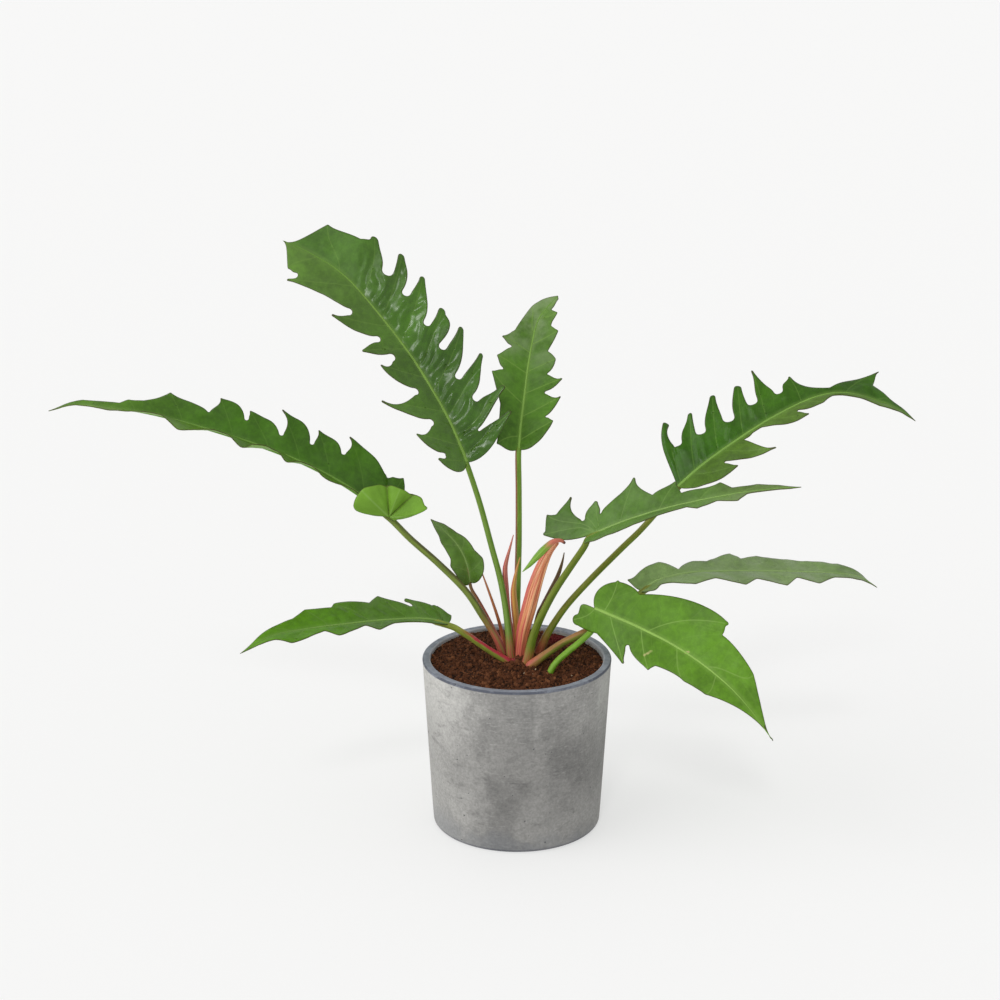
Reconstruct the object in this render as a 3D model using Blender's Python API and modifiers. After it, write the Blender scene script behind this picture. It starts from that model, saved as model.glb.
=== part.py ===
import math

import bmesh
import bpy
import numpy as np
from mathutils import Vector
from mathutils.geometry import delaunay_2d_cdt

# A potted philodendron with long, deeply lobed leaves, in its own pot.
# Lengths are in millimetres up to to_metres(). The origin is the middle of the pot's base, +Z is up,
# the side that is looked at faces -Y.
MM = 0.001
GAP = 0.3

# Pot
POT_HEIGHT = 176.4
POT_TOP_RADIUS = 95.0
POT_BASE_RADIUS = 85.0
POT_WALL = 8.0
POT_FLOOR = 12.0
BASE_ROUNDING = 4.0
RIM_ROUNDING = 1.6
POT_STEPS = 56

# Soil and the stem base that the leaf stalks grow from
SOIL_EDGE_HEIGHT = 171.0
SOIL_MIDDLE_HEIGHT = 171.5
CROWN_CENTRE = (2.0, 7.0)
CROWN_PROFILE = [(0, 180), (12, 178.5), (21, 175), (27, 169), (26, 159), (16, 148), (0, 143)]
CROWN_STEPS = 28
ROOT_SHARE = 0.3
ROOT_HEIGHT = 165.0
# The one stalk that comes out of the soil beside the crown
OWN_HOLE_CENTRE = (32.8, -30.6)
OWN_HOLE_RADIUS = 5.6
OWN_HOLE_FLOOR = 155.6

# Leaf blades
EDGE_THICKNESS = 1.0
MIDRIB_THICKNESS = 2.8
MIDRIB_HALF_WIDTH = 4.0
MIDRIB_TIP_HALF_WIDTH = 1.0
MIDRIB_NODES = 19
LOBE_SWEEP = 0.5
WAVE_PER_WIDTH = 0.045
LOBE_NEAR_STEPS = 4
LOBE_FAR_STEPS = 3
BLADE_GRID = 16.0
BLADE_GRID_MARGIN = 5.0

# Leaf stalks, sheaths and spikes
STALK_STEPS = 12

# Each leaf: rib is the midrib from the stalk to the tip. face is the way the upper face looks, as
# (share of the length, x, y, z). fold is how far each half rises from flat, curl how much it bends
# further in 50 mm, both as (share of the length, degrees). A lobe is (tip along the rib, tip out from
# it, notch along, notch out, belly): the notch comes after the lobe, belly is how far its near edge
# swells, and None as notch ends the side at the leaf's tip. start is where the first lobe sets off to.
# keel_depth is how far below the upper face the midrib reaches where the stalk meets it.
LEAVES = {
    "tall_left": {
        "rib": [(-50, 62, 361), (-66, 78, 396), (-84, 93, 426), (-108, 109, 461), (-142, 126, 502),
                (-175, 140, 536), (-208, 150, 556), (-238, 156, 569)],
        "face": [(0, 0.42, -0.86, 0.45), (0.6, 0.35, -0.86, 0.45), (1, 0.1, -0.9, 0.45)],
        "right": {"fold": [(0, 20), (1, 8)], "start": (-0.1, 0.35),
                  "lobes": [(32, 60, 26, 22, 0.08), (54, 66, 54, 33, 0.02), (90, 62, 80, 29, 0.09),
                            (120, 59, 113, 31, 0.09), (146, 54, 140, 32, 0.18), (180, 59, 176, 35, 0.1),
                            (209, 57, 203, 33, 0.1), (236, 49, 240, 39, 0.08),
                            (272, 33, None, None, -0.06)]},
        "left": {"fold": [(0, 20), (1, 8)], "start": (-0.4, 0.3),
                 "lobes": [(11, 36, 10, 25, 0.22), (44, 46, 48, 21, 0.12), (92, 62, 86, 18, 0.05),
                           (132, 37, 130, 18, 0.08), (156, 43, 154, 19, 0.07), (206, 43, 194, 25, 0.07),
                           (280, 38, 270, 29, -0.02), (286, 26, None, None, 0)]},
        "stalk": [(-6, 3, 176), (-8, 7, 197), (-11, 21, 227), (-15, 32, 253), (-24, 40, 274),
                  (-37, 55, 319)],
        "stalk_radius": (3.8, 3.2),
    },
    "tall_back": {
        "rib": [(2, 88, 367), (4, 104, 387), (8, 124, 414), (13, 146, 447), (21, 164, 480), (31, 170, 495),
                (42, 176, 504)],
        "face": [(0, 0, -0.8, 0.6), (1, 0, -0.8, 0.6)],
        "right": {"fold": [(0, 22), (1, 5)], "start": (-0.1, 0.35),
                  "lobes": [(22, 38, 36, 25, 0.14), (60, 39, 63, 21, 0.12), (80, 38, 84, 21, 0.12),
                            (103, 28, 110, 18, 0.12), (137, 24, 141, 15, 0.12), (162, 11, 164, 6, 0.1),
                            (171, 3, None, None, 0.05)]},
        "left": {"fold": [(0, 22), (1, 5)], "start": (-0.3, 0.5),
                 "lobes": [(1, 24, 45, 24, 0.08), (80, 37, 84, 25, 0.02), (97, 34, 109, 20, 0.04),
                           (117, 32, 129, 18, 0.08), (143, 17, 148, 12, 0.04), (165, 6, None, None, 0.06)]},
        "stalk": [(1, 26, 175), (0, 36, 200), (1, 54, 239), (2, 67, 277), (2, 80, 326)],
        "stalk_radius": (3.9, 3.3),
    },
    "long_left": {
        "rib": [(-127, 20, 319), (-154, 24, 338), (-186, 30, 357), (-226, 36, 375), (-270, 42, 390),
                (-316, 48, 403), (-360, 52, 414), (-406, 56, 421), (-440, 58, 423), (-468, 60, 416)],
        "face": [(0, 0, -0.2, 1), (1, 0, -0.3, 1)],
        "right": {"fold": [(0, 25), (0.5, 25), (1, 10)], "start": (-0.15, 0.4),
                  "lobes": [(10, 43, 27, 34, 0.1), (74, 50, 70, 29, 0.16), (102, 43, 101, 22, 0.2),
                            (141, 47, 131, 20, 0.18), (170, 33, 169, 23, 0.2), (202, 41, 207, 18, 0.14),
                            (250, 33, 272, 14, 0.1), (287, 14, 294, 7, 0.03), (331, 7, None, None, 0.03)]},
        "left": {"fold": [(0, 100), (0.025, 85), (0.05, 40), (0.085, -30), (0.115, -30), (0.15, 28),
                          (1, 29)],
                 "curl": [(0, 0), (0.025, 20), (0.05, 85), (0.085, 135), (0.115, 135), (0.15, 0), (1, 0)],
                 "start": (-0.4, 0.12),
                 "lobes": [(-27, 31, -5, 32, 0.15), (8, 33, 17, 31, 0.2), (29, 50, 41, 10, 0.15),
                           (78, 30, 92, 22, 0.1),
                           (112, 34, 136, 22, 0.1), (156, 36, 182, 18, 0.1), (206, 32, 232, 16, 0.1),
                           (262, 20, None, None, 0.1)]},
        "stalk": [(-13, 10, 174), (-21, 11, 193), (-35, 15, 215), (-52, 17, 241), (-79, 19, 269),
                  (-106, 20, 294)],
        "stalk_radius": (4.3, 3.8),
        "keel_depth": 1.8,
    },
    "high_right": {
        "rib": [(161, 48, 340), (187, 54, 362), (227, 66, 388), (262, 74, 408), (300, 82, 424),
                (331, 88, 427), (363, 94, 418), (389, 98, 406), (406, 100, 394)],
        "face": [(0, 0, -0.35, 1), (1, 0, -0.35, 1)],
        "right": {"fold": [(0, 5), (1, 5)], "start": (0.1, 0.35),
                  "lobes": [(58, 34, 51, 17, 0.1), (101, 46, 82, 6, 0), (151, 23, 143, 10, 0.14),
                            (172, 12, 184, 5, 0.1), (236, 9, None, None, 0)]},
        "left": {"fold": [(0, 25), (1, 15)], "start": (0.15, 0.35),
                 "lobes": [(31, 60, 27, 33, 0.06), (57, 53, 52, 28, 0.07), (85, 57, 82, 22, 0.07),
                           (109, 51, 111, 24, 0.08), (127, 56, 138, 21, 0.02), (154, 32, 185, 7, 0.08),
                           (237, 38, 230, 17, -0.02), (256, 7, None, None, -0.05)]},
        "stalk": [(17, 17, 173), (26, 15, 186), (32, 15, 197), (49, 20, 222), (74, 29, 248), (105, 37, 278),
                  (127, 42, 299)],
        "stalk_radius": (4.0, 3.3),
    },
    "middle_right": {
        "rib": [(74, -14, 311), (105, -24, 328), (143, -34, 344), (181, -42, 356), (214, -50, 365),
                (244, -56, 371), (271, -60, 374)],
        "face": [(0, 0, -0.3, 1), (1, 0, -0.3, 1)],
        "right": {"fold": [(0, 20), (0.3, 26), (1, 30)], "start": (-0.5, 0.2),
                  "lobes": [(-8, 18, 14, 22, 0.1), (40, 30, 58, 20, 0.06), (86, 30, 104, 16, 0.06),
                            (130, 24, 150, 12, 0.06), (176, 12, None, None, 0.06)]},
        "left": {"fold": [(0, 30), (1, 15)], "start": (-0.5, 0.02),
                 "lobes": [(-54, 22, -50, 28, 0.1), (-46, 41, -36, 38, 0.1), (-17, 50, -8, 18, 0.08),
                           (10, 34, 12, 18, 0.15), (52, 44, 68, 20, 0.04), (93, 28, 97, 13, 0.05),
                           (135, 17, 147, 8, 0.04), (171, 8, None, None, 0.02)]},
        "stalk": [(9, -1, 172), (15, -2, 200), (23, -5, 225), (34, -7, 250), (48, -10, 274), (63, -12, 296)],
        "stalk_radius": (5.0, 3.4),
    },
    "low_right": {
        "rib": [(124, 8, 244), (143, 13, 254), (174, 20, 259), (209, 27, 258), (245, 33, 256),
                (286, 39, 253), (323, 43, 250), (348, 46, 245), (367, 48, 233)],
        "face": [(0, 0, -0.1, 1), (1, 0, -0.1, 1)],
        "right": {"fold": [(0, 0), (1, 0)], "start": (-0.2, 0.3),
                  "lobes": [(10, 13, 20, 10, 0.1), (53, 24, 76, 17, 0.05), (105, 29, 119, 20, 0.05),
                            (148, 30, 162, 15, 0.05), (184, 23, 203, 10, 0.05), (227, 7, None, None, 0.05)]},
        "left": {"fold": [(0, 14), (1, 4)], "start": (-0.2, 0.3),
                 "lobes": [(-5, 21, 19, 17, 0.14), (31, 25, 45, 8, 0.05), (62, 20, 83, 19, 0.1),
                           (108, 32, 117, 23, 0.05), (133, 28, 145, 23, 0.05), (167, 26, 179, 22, 0.03),
                           (215, 21, None, None, 0.04)]},
        "stalk": [(14, -9, 174), (30, -8, 184), (45, -3, 192), (60, -1, 199), (78, 3, 207), (94, 8, 217),
                  (108, 9, 229)],
        "stalk_radius": (4.3, 3.7),
    },
    "front_right": {
        "rib": [(86, -16, 230), (121, -36, 221), (161, -58, 206), (197, -76, 184), (224, -88, 159),
                (249, -96, 126)],
        "face": [(0, 0.1, -0.95, 0.4), (1, 0.2, -0.75, 0.6)],
        "heel": -11,
        "own_hole": True,
        "right": {"fold": [(0, -20), (0.3, 8), (1, 5)], "start": (-0.75, -0.05),
                  "lobes": [(-26, 25, 0, 23, 0.4), (44, 39, 37, 21, 0), (73, 35, 76, 28, 0.1),
                            (133, 25, None, None, 0)]},
        "left": {"fold": [(0, 12), (1, 5)], "start": (-0.25, 0.35),
                 "lobes": [(18, 36, 28, 29, 0.24), (111, 47, 112, 34, 0.13), (157, 25, None, None, 0.06)]},
        "stalk": [(32, -31, 156), (32, -31, 166), (34, -30, 174), (40, -27, 182), (51, -23, 191),
                  (62, -19, 199), (72, -13, 206), (79, -7, 213), (85, -4, 220)],
        "stalk_radius": (3.8, 3.3),
    },
    "low_left": {
        "rib": [(-68, -16, 218), (-91, -24, 226), (-130, -38, 230), (-169, -52, 231), (-207, -66, 231),
                (-240, -78, 228), (-268, -88, 214)],
        "face": [(0, 0, -0.3, 1), (1, 0, -0.3, 1)],
        "right": {"fold": [(0, 10), (1, 10)], "start": (-0.3, 0.4),
                  "lobes": [(-5, 14, 2, 19, 0.05), (9, 24, 17, 21, 0.04), (41, 26, 35, 16, 0.02),
                            (68, 34, 77, 25, 0.03), (112, 28, 117, 22, 0.03), (142, 26, 157, 16, 0.04),
                            (176, 11, None, None, 0.02)]},
        "left": {"fold": [(0, 10), (1, 10)], "start": (0.1, 0.3),
                 "lobes": [(33, 7, 60, 8, 0.1), (78, 18, 90, 8, 0.1), (120, 20, 132, 10, 0.1),
                           (168, 21, 182, 9, 0.1), (198, 4, None, None, 0)]},
        "stalk": [(-11, -3, 173), (-30, -6, 187), (-47, -10, 201), (-57, -13, 209)],
        "stalk_radius": (4.2, 3.6),
    },
    "small_left": {
        "rib": [(-47, 34, 243), (-51, 36, 264), (-60, 38, 282), (-72, 40, 295), (-87, 42, 308)],
        "face": [(0, 0.2, -0.9, 0.3), (1, -0.3, -0.9, 0.5)],
        "right": {"fold": [(0, 30), (1, 30)], "start": (-0.2, 0.3),
                  "lobes": [(22, 19, 30, 14, 0.2), (46, 11, 52, 8, 0.1), (66, 6, None, None, 0.1)]},
        "left": {"fold": [(0, 30), (1, 30)], "start": (-0.25, 0.3),
                 "lobes": [(26, 19, 34, 15, 0.2), (56, 12, 62, 8, 0.08), (72, 4, None, None, 0.08)]},
        "stalk": [(-13, 19, 176), (-22, 24, 196), (-31, 30, 213), (-39, 33, 230)],
        "stalk_radius": (2.3, 1.9),
        "midrib_thickness": 2.2,
        "keel_depth": 2.2,
    },
    "new": {
        "rib": [(44, -13, 302.2), (38, -19, 307), (29, -24, 305), (18, -26, 294), (5, -26, 276)],
        "face": [(0, -0.5, -0.5, 1), (1, -0.5, -0.5, 1)],
        "right": {"fold": [(0, -84), (1, -84)], "start": (0.25, 0.06),
                  "lobes": [(26, 12, None, None, 0.12)]},
        "left": {"fold": [(0, -56), (1, -56)], "start": (0.25, 0.06),
                 "lobes": [(26, 13, None, None, 0.12)]},
        "midrib_thickness": 1.6,
    },
}

# Spikes and the sheath round the newest leaf: route and the radius along it
SPIKES = {
    "spike_pink": {"route": [(-7, 23, 172), (-10, 31, 195), (-11, 34, 225), (-9, 34, 260), (-4, 34, 292)],
                   "radii": [2.4, 2.8, 2.9, 1.9, 0.6]},
    "spike_gold": {"route": [(-3, 17, 172), (-2, 21, 197), (-2, 22, 230), (0, 21, 251), (3, 20, 275)],
                   "radii": [2.5, 3.4, 3.4, 2.2, 0.6]},
    "spike_brown": {"route": [(12, 21, 172), (24, 16, 220), (32, 14, 242), (39, 12, 262), (47, 10, 283)],
                    "radii": [1.8, 1.8, 1.8, 1.6, 0.6]},
    "spike_thin": {"route": [(-11.5, 25.5, 172), (-15, 31, 190), (-20, 31, 209), (-28, 33, 233),
                             (-36, 34, 256)],
                   "radii": [1.3, 1.3, 1.2, 1.0, 0.5]},
    "new_leaf_sheath": {"route": [(5, 14, 174), (5, 11, 192), (12, 7, 220), (21, 2, 247), (32, -5, 276),
                                  (43, -12, 301)],
                        "radii": [5.4, 6.2, 7.4, 7.8, 6.0, 3.4]},
}

COLOURS = {
    "pot": ((0.26, 0.28, 0.3), 0.75),
    "soil": ((0.05, 0.02, 0.012), 0.95),
    "crown": ((0.4, 0.12, 0.1), 0.6),
    "blade": ((0.05, 0.17, 0.025), 0.38),
    "blade_pale": ((0.12, 0.3, 0.03), 0.45),
    "stalk": ((0.13, 0.26, 0.04), 0.45),
    "stalk_brown": ((0.2, 0.09, 0.06), 0.5),
    "pink": ((0.5, 0.12, 0.1), 0.5),
    "gold": ((0.6, 0.25, 0.06), 0.5),
    "brown": ((0.1, 0.035, 0.02), 0.55),
}


def clear_scene():
    for thing in list(bpy.data.objects):
        bpy.data.objects.remove(thing, do_unlink=True)
    for group in list(bpy.data.collections):
        bpy.data.collections.remove(group)


def to_metres(point):
    return tuple(float(v) * MM for v in point)


def unit(vector):
    vector = np.asarray(vector, float)
    return vector / np.linalg.norm(vector)


def material(name):
    made = bpy.data.materials.get(name)
    if made:
        return made
    colour, roughness = COLOURS[name]
    made = bpy.data.materials.new(name)
    made.use_nodes = True
    shader = made.node_tree.nodes["Principled BSDF"]
    shader.inputs["Base Color"].default_value = (*colour, 1)
    shader.inputs["Roughness"].default_value = roughness
    shader.inputs["Metallic"].default_value = 0.0
    made.diffuse_color = (*colour, 1)
    return made


def place(name, data, colour, group):
    made = bpy.data.objects.new(name, data)
    group.objects.link(made)
    data.materials.append(material(colour))
    return made


def hide_cutter(cutter):
    cutter.hide_render = True
    cutter.display_type = "WIRE"


def cut(target, cutter):
    boolean = target.modifiers.new("cut_" + cutter.name, "BOOLEAN")
    boolean.operation = "DIFFERENCE"
    boolean.object = cutter
    boolean.solver = "EXACT"


def smooth_route(points, count):
    # Catmull-Rom through the points, evenly spaced along its length
    p = np.asarray(points, float)
    p = np.vstack([2 * p[0] - p[1], p, 2 * p[-1] - p[-2]])
    dense = []
    for i in range(1, len(p) - 2):
        a, b, c, d = p[i - 1:i + 3]
        for t in np.linspace(0, 1, 40, endpoint=False):
            dense.append(0.5 * (2 * b + (c - a) * t + (2 * a - 5 * b + 4 * c - d) * t ** 2
                                + (3 * b - a - 3 * c + d) * t ** 3))
    dense.append(p[-2])
    dense = np.array(dense)
    run = np.concatenate([[0], np.cumsum(np.linalg.norm(np.diff(dense, axis=0), axis=1))])
    length = np.linspace(0, run[-1], count)
    return np.stack([np.interp(length, run, dense[:, k]) for k in range(3)], 1), length


def keyed(keys, share):
    shares = [key[0] for key in keys]
    columns = [[key[k] for key in keys] for k in range(1, len(keys[0]))]
    return np.array([np.interp(share, shares, column) for column in columns])


def bezier(p0, p1, p2, p3, t):
    u = 1 - t
    return u ** 3 * p0 + 3 * u * u * t * p1 + 3 * u * t * t * p2 + t ** 3 * p3


def eased(share):
    # puts more of the points near the two ends of a stretch, where it bends most
    return share * share * (3 - 2 * share)


class Leaf:
    def __init__(self, spec):
        self.spec = spec
        self.rib, self.run = smooth_route(spec["rib"], 160)
        self.length = self.run[-1]
        self.heel = spec.get("heel", 0.0)
        tangent = np.gradient(self.rib, self.run, axis=0)
        self.tangent = tangent / np.linalg.norm(tangent, axis=1)[:, None]
        self.feet = {side: self.lobe_feet(side) for side in ("right", "left")}

    def notches(self, side):
        lobes = self.spec[side]["lobes"]
        inner = [(lobe[2], lobe[3]) for lobe in lobes[:-1]]
        return np.array([(self.heel, 0.0)] + inner + [(self.length, 0.0)], float)

    def lobe_feet(self, side):
        # where each notch's line reaches the midrib, in order along it
        feet = [self.heel]
        for along, out in self.notches(side)[1:-1]:
            feet.append(min(max(along - LOBE_SWEEP * out, feet[-1] + 2), self.length - 4))
        return feet + [self.length]

    def frame(self, along):
        inside = min(max(along, 0.0), self.length)
        middle = np.array([np.interp(inside, self.run, self.rib[:, k]) for k in range(3)])
        tangent = unit([np.interp(inside, self.run, self.tangent[:, k]) for k in range(3)])
        face = keyed(self.spec["face"], inside / self.length)
        normal = unit(face - face.dot(tangent) * tangent)
        return middle + (along - inside) * tangent, normal, np.cross(tangent, normal)

    def point(self, along, across, lift=0.0):
        # across is positive on the right half and negative on the left one
        side = "right" if across >= 0 else "left"
        half = self.spec[side]
        middle, normal, sideways = self.frame(along)
        share = min(max(along / self.length, 0.0), 1.0)
        width = abs(across)
        fold = math.radians(keyed(half["fold"], share)[0])
        curl = math.radians(keyed(half.get("curl", [(0, 0), (1, 0)]), share)[0]) / 50
        if abs(curl) < 1e-5:
            out, up = width * math.cos(fold), width * math.sin(fold)
        else:
            out = (math.sin(fold + curl * width) - math.sin(fold)) / curl
            up = (math.cos(fold) - math.cos(fold + curl * width)) / curl
        foot = along - LOBE_SWEEP * width
        lobe = np.interp(foot, self.feet[side], range(len(self.feet[side])))
        wave = WAVE_PER_WIDTH * width * math.cos(2 * math.pi * lobe) if len(half["lobes"]) > 1 else 0.0
        return middle + math.copysign(1, across) * sideways * out + normal * (up + lift + wave)

    def outline(self, side, near_steps, far_steps):
        # from the heel to the tip as (along, out from the midrib)
        half = self.spec[side]
        notches = self.notches(side)
        rows = []
        for k, lobe in enumerate(half["lobes"]):
            start, end, tip = notches[k], notches[k + 1], np.array(lobe[:2], float)
            near, far, belly = tip - start, end - tip, lobe[4]
            swell = np.array([-near[1], near[0]])
            size = np.linalg.norm(near)
            first = start + 0.15 * near + np.array([0.12 * size, 0]) + 0.3 * belly * swell
            if k == 0:
                first = start + np.array(half["start"]) * size
            second = start + 0.8 * near + 1.75 * belly * swell
            into = np.array([0.2, -0.02]) * np.linalg.norm(far)
            rows += [bezier(start, first, second, tip, eased(i / near_steps)) for i in range(near_steps)]
            rows += [bezier(tip, tip + 0.35 * far, end - into, end, eased(i / far_steps))
                     for i in range(far_steps)]
        rows.append(notches[-1])
        return np.array(rows)


def inside_outline(outline, point):
    x, y = point
    a, b = outline, np.roll(outline, -1, axis=0)
    rises = (a[:, 1] > y) != (b[:, 1] > y)
    with np.errstate(divide="ignore", invalid="ignore"):
        crossing = a[:, 0] + (y - a[:, 1]) / (b[:, 1] - a[:, 1]) * (b[:, 0] - a[:, 0])
    return bool(np.count_nonzero(rises & (x < crossing)) % 2)


def edge_distance(outline, point):
    a, b = outline, np.roll(outline, -1, axis=0)
    run = b - a
    share = np.clip(((point - a) * run).sum(1) / np.maximum((run ** 2).sum(1), 1e-9), 0, 1)
    return np.linalg.norm(point - a - share[:, None] * run, axis=1).min()


def flat_blade(leaf):
    # The flattened blade as triangles, with the midrib and a strip each side of it as edges of its own
    right = leaf.outline("right", LOBE_NEAR_STEPS, LOBE_FAR_STEPS)
    left = leaf.outline("left", LOBE_NEAR_STEPS, LOBE_FAR_STEPS) * (1, -1)
    outline = np.vstack([right, left[-2:0:-1]])
    stations = np.linspace(leaf.heel, leaf.length, MIDRIB_NODES)[1:-1]
    points, edges = list(outline), [(i, (i + 1) % len(outline)) for i in range(len(outline))]
    tip = len(right) - 1
    for side in (0, 1, -1):
        chain = [0]
        for along in stations:
            half = np.interp(along, (leaf.heel, leaf.length), (MIDRIB_HALF_WIDTH, MIDRIB_TIP_HALF_WIDTH))
            point = np.array([along, side * half])
            if side and (not inside_outline(outline, point) or edge_distance(outline, point) < half / 2):
                continue
            chain.append(len(points))
            points.append(point)
        chain.append(tip)
        if side == 0:
            edges += list(zip(chain[:-1], chain[1:]))
    low, high = outline.min(0), outline.max(0)
    for along in np.arange(low[0], high[0], BLADE_GRID):
        for across in np.arange(BLADE_GRID / 2, max(-low[1], high[1]), BLADE_GRID):
            for point in (np.array([along, across]), np.array([along, -across])):
                if inside_outline(outline, point) and edge_distance(outline, point) > BLADE_GRID_MARGIN:
                    points.append(point)
    flat, _, faces, _, _, _ = delaunay_2d_cdt([Vector(p) for p in points], edges, [], 0, 1e-4)
    kept = [face for face in faces
            if inside_outline(outline, np.mean([flat[i][:] for i in face], axis=0))]
    return flat, kept


def make_blade(name, leaf, colour, group):
    flat, faces = flat_blade(leaf)
    mesh = bpy.data.meshes.new(name)
    builder = bmesh.new()
    vertices = [builder.verts.new(to_metres(leaf.point(p.x, p.y))) for p in flat]
    for face in faces:
        builder.faces.new([vertices[i] for i in reversed(face)])
    loose = [vertex for vertex in builder.verts if not vertex.link_faces]
    bmesh.ops.delete(builder, geom=loose, context="VERTS")
    builder.verts.index_update()
    on_rib = [v.index for v, p in zip(vertices, flat) if v.is_valid and abs(p.y) < 1e-3]
    builder.to_mesh(mesh)
    builder.free()
    blade = place(name, mesh, colour, group)
    midrib = blade.vertex_groups.new(name="midrib")
    midrib.add(on_rib, 1.0, "REPLACE")
    rib_thickness = leaf.spec.get("midrib_thickness", MIDRIB_THICKNESS)
    solid = blade.modifiers.new("thickness", "SOLIDIFY")
    solid.thickness = rib_thickness * MM
    solid.offset = -1
    solid.vertex_group = "midrib"
    solid.thickness_vertex_group = EDGE_THICKNESS / rib_thickness
    mesh.shade_smooth()
    return blade


def make_tube(name, route, radii, colour, group):
    # A tapering round tube as a curve, turned into a mesh so that it can be cut
    points, _ = smooth_route(route, STALK_STEPS)
    shares = np.linspace(0, 1, len(points))
    curve = bpy.data.curves.new(name, "CURVE")
    curve.dimensions = "3D"
    curve.bevel_depth = MM
    curve.bevel_resolution = 2
    curve.use_fill_caps = True
    spline = curve.splines.new("POLY")
    spline.points.add(len(points) - 1)
    for share, point, place_in_spline in zip(shares, points, spline.points):
        place_in_spline.co = (*to_metres(point), 1)
        place_in_spline.radius = float(np.interp(share, np.linspace(0, 1, len(radii)), radii))
    drawn = bpy.data.objects.new(name + "_curve", curve)
    group.objects.link(drawn)
    depsgraph = bpy.context.evaluated_depsgraph_get()
    mesh = bpy.data.meshes.new_from_object(drawn.evaluated_get(depsgraph))
    bpy.data.objects.remove(drawn, do_unlink=True)
    welder = bmesh.new()
    welder.from_mesh(mesh)
    bmesh.ops.remove_doubles(welder, verts=welder.verts, dist=1e-6)
    welder.to_mesh(mesh)
    welder.free()
    mesh.name = name
    mesh.materials.clear()
    mesh.shade_smooth()
    return place(name, mesh, colour, group)


def turned(name, profile, steps, centre, colour, group):
    # profile is (radius, height) down the outer side, closed on the axis
    mesh = bpy.data.meshes.new(name)
    builder = bmesh.new()
    vertices = [builder.verts.new(to_metres((radius, 0, height))) for radius, height in profile]
    for first, second in zip(vertices[:-1], vertices[1:]):
        builder.edges.new((first, second))
    builder.to_mesh(mesh)
    builder.free()
    made = place(name, mesh, colour, group)
    made.location = to_metres((*centre, 0))
    screw = made.modifiers.new("turn", "SCREW")
    screw.steps = steps
    screw.render_steps = steps
    screw.use_merge_vertices = True
    screw.merge_threshold = 0.00001
    screw.use_smooth_shade = True
    return made


def arc(centre, radius, start, end, steps):
    angles = [math.radians(start + (end - start) * i / steps) for i in range(steps + 1)]
    return [(centre[0] + radius * math.cos(a), centre[1] + radius * math.sin(a)) for a in angles]


def inner_radius(height):
    return POT_BASE_RADIUS + (POT_TOP_RADIUS - POT_BASE_RADIUS) * height / POT_HEIGHT - POT_WALL


def make_pot(group):
    rim_inner = inner_radius(POT_HEIGHT)
    profile = [(0, POT_FLOOR), (inner_radius(POT_FLOOR), POT_FLOOR)]
    profile += arc((rim_inner + RIM_ROUNDING, POT_HEIGHT - RIM_ROUNDING), RIM_ROUNDING, 180, 90, 2)
    profile += arc((POT_TOP_RADIUS - RIM_ROUNDING, POT_HEIGHT - RIM_ROUNDING), RIM_ROUNDING, 90, 0, 2)
    profile += arc((POT_BASE_RADIUS - BASE_ROUNDING, BASE_ROUNDING), BASE_ROUNDING, 0, -90, 3)
    profile.append((0, 0))
    return turned("pot", profile, POT_STEPS, (0, 0), "pot", group)


def make_soil(group, cutters):
    floor = POT_FLOOR + GAP
    profile = [(0, SOIL_MIDDLE_HEIGHT), (45, SOIL_MIDDLE_HEIGHT - 0.3),
               (inner_radius(SOIL_EDGE_HEIGHT) - GAP, SOIL_EDGE_HEIGHT), (inner_radius(floor) - GAP, floor),
               (0, floor)]
    soil = turned("soil", profile, POT_STEPS, (0, 0), "soil", group)
    for cutter in cutters:
        cut(soil, cutter)
    return soil


def make_hole(group):
    height = SOIL_MIDDLE_HEIGHT + 6 - OWN_HOLE_FLOOR
    mesh = bpy.data.meshes.new("stalk_hole")
    builder = bmesh.new()
    bmesh.ops.create_cone(builder, cap_ends=True, segments=16, radius1=OWN_HOLE_RADIUS * MM,
                          radius2=OWN_HOLE_RADIUS * MM, depth=height * MM)
    builder.to_mesh(mesh)
    builder.free()
    hole = place("stalk_hole", mesh, "soil", group)
    hole.location = to_metres((*OWN_HOLE_CENTRE, OWN_HOLE_FLOOR + height / 2))
    hide_cutter(hole)
    return hole


def grown_profile(profile, amount):
    # the profile moved out by amount along its own normal
    points = np.array(profile, float)
    grown = []
    for i, point in enumerate(points):
        before, after = points[max(i - 1, 0)], points[min(i + 1, len(points) - 1)]
        run = unit(after - before)
        outward = np.array([-run[1], run[0]])
        if point[0] == 0:
            outward = np.array([0, math.copysign(1, outward[1])])
        grown.append(tuple(point + amount * outward))
    return grown


def rooted(route):
    # the route with a start of its own inside the crown
    foot = np.array(route[0], float)
    start = foot + ROOT_SHARE * (np.array((*CROWN_CENTRE, foot[2])) - foot)
    return [(start[0], start[1], ROOT_HEIGHT)] + list(route)


def make_stalk(name, leaf, colour, group):
    base, top = leaf.spec["stalk_radius"]
    end = 0.65 * top
    keel = leaf.spec.get("keel_depth", MIDRIB_THICKNESS) + GAP + 0.1
    if leaf.spec.get("own_hole"):
        # the blade hangs from this stalk, which meets its back square on
        route = leaf.spec["stalk"] + [leaf.point(2, 0, -keel - 8), leaf.point(2, 0, -keel)]
    else:
        # the stalk runs under the blade's heel and ends just below the midrib
        route = rooted(leaf.spec["stalk"])
        route += [leaf.point(leaf.heel - 4, 0, -keel - end - 0.4), leaf.point(leaf.heel + 9, 0, -keel - end)]
    middle = (base + top) / 2
    return make_tube(name, route, [base, base, middle, top, top, end], colour, group)


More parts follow.
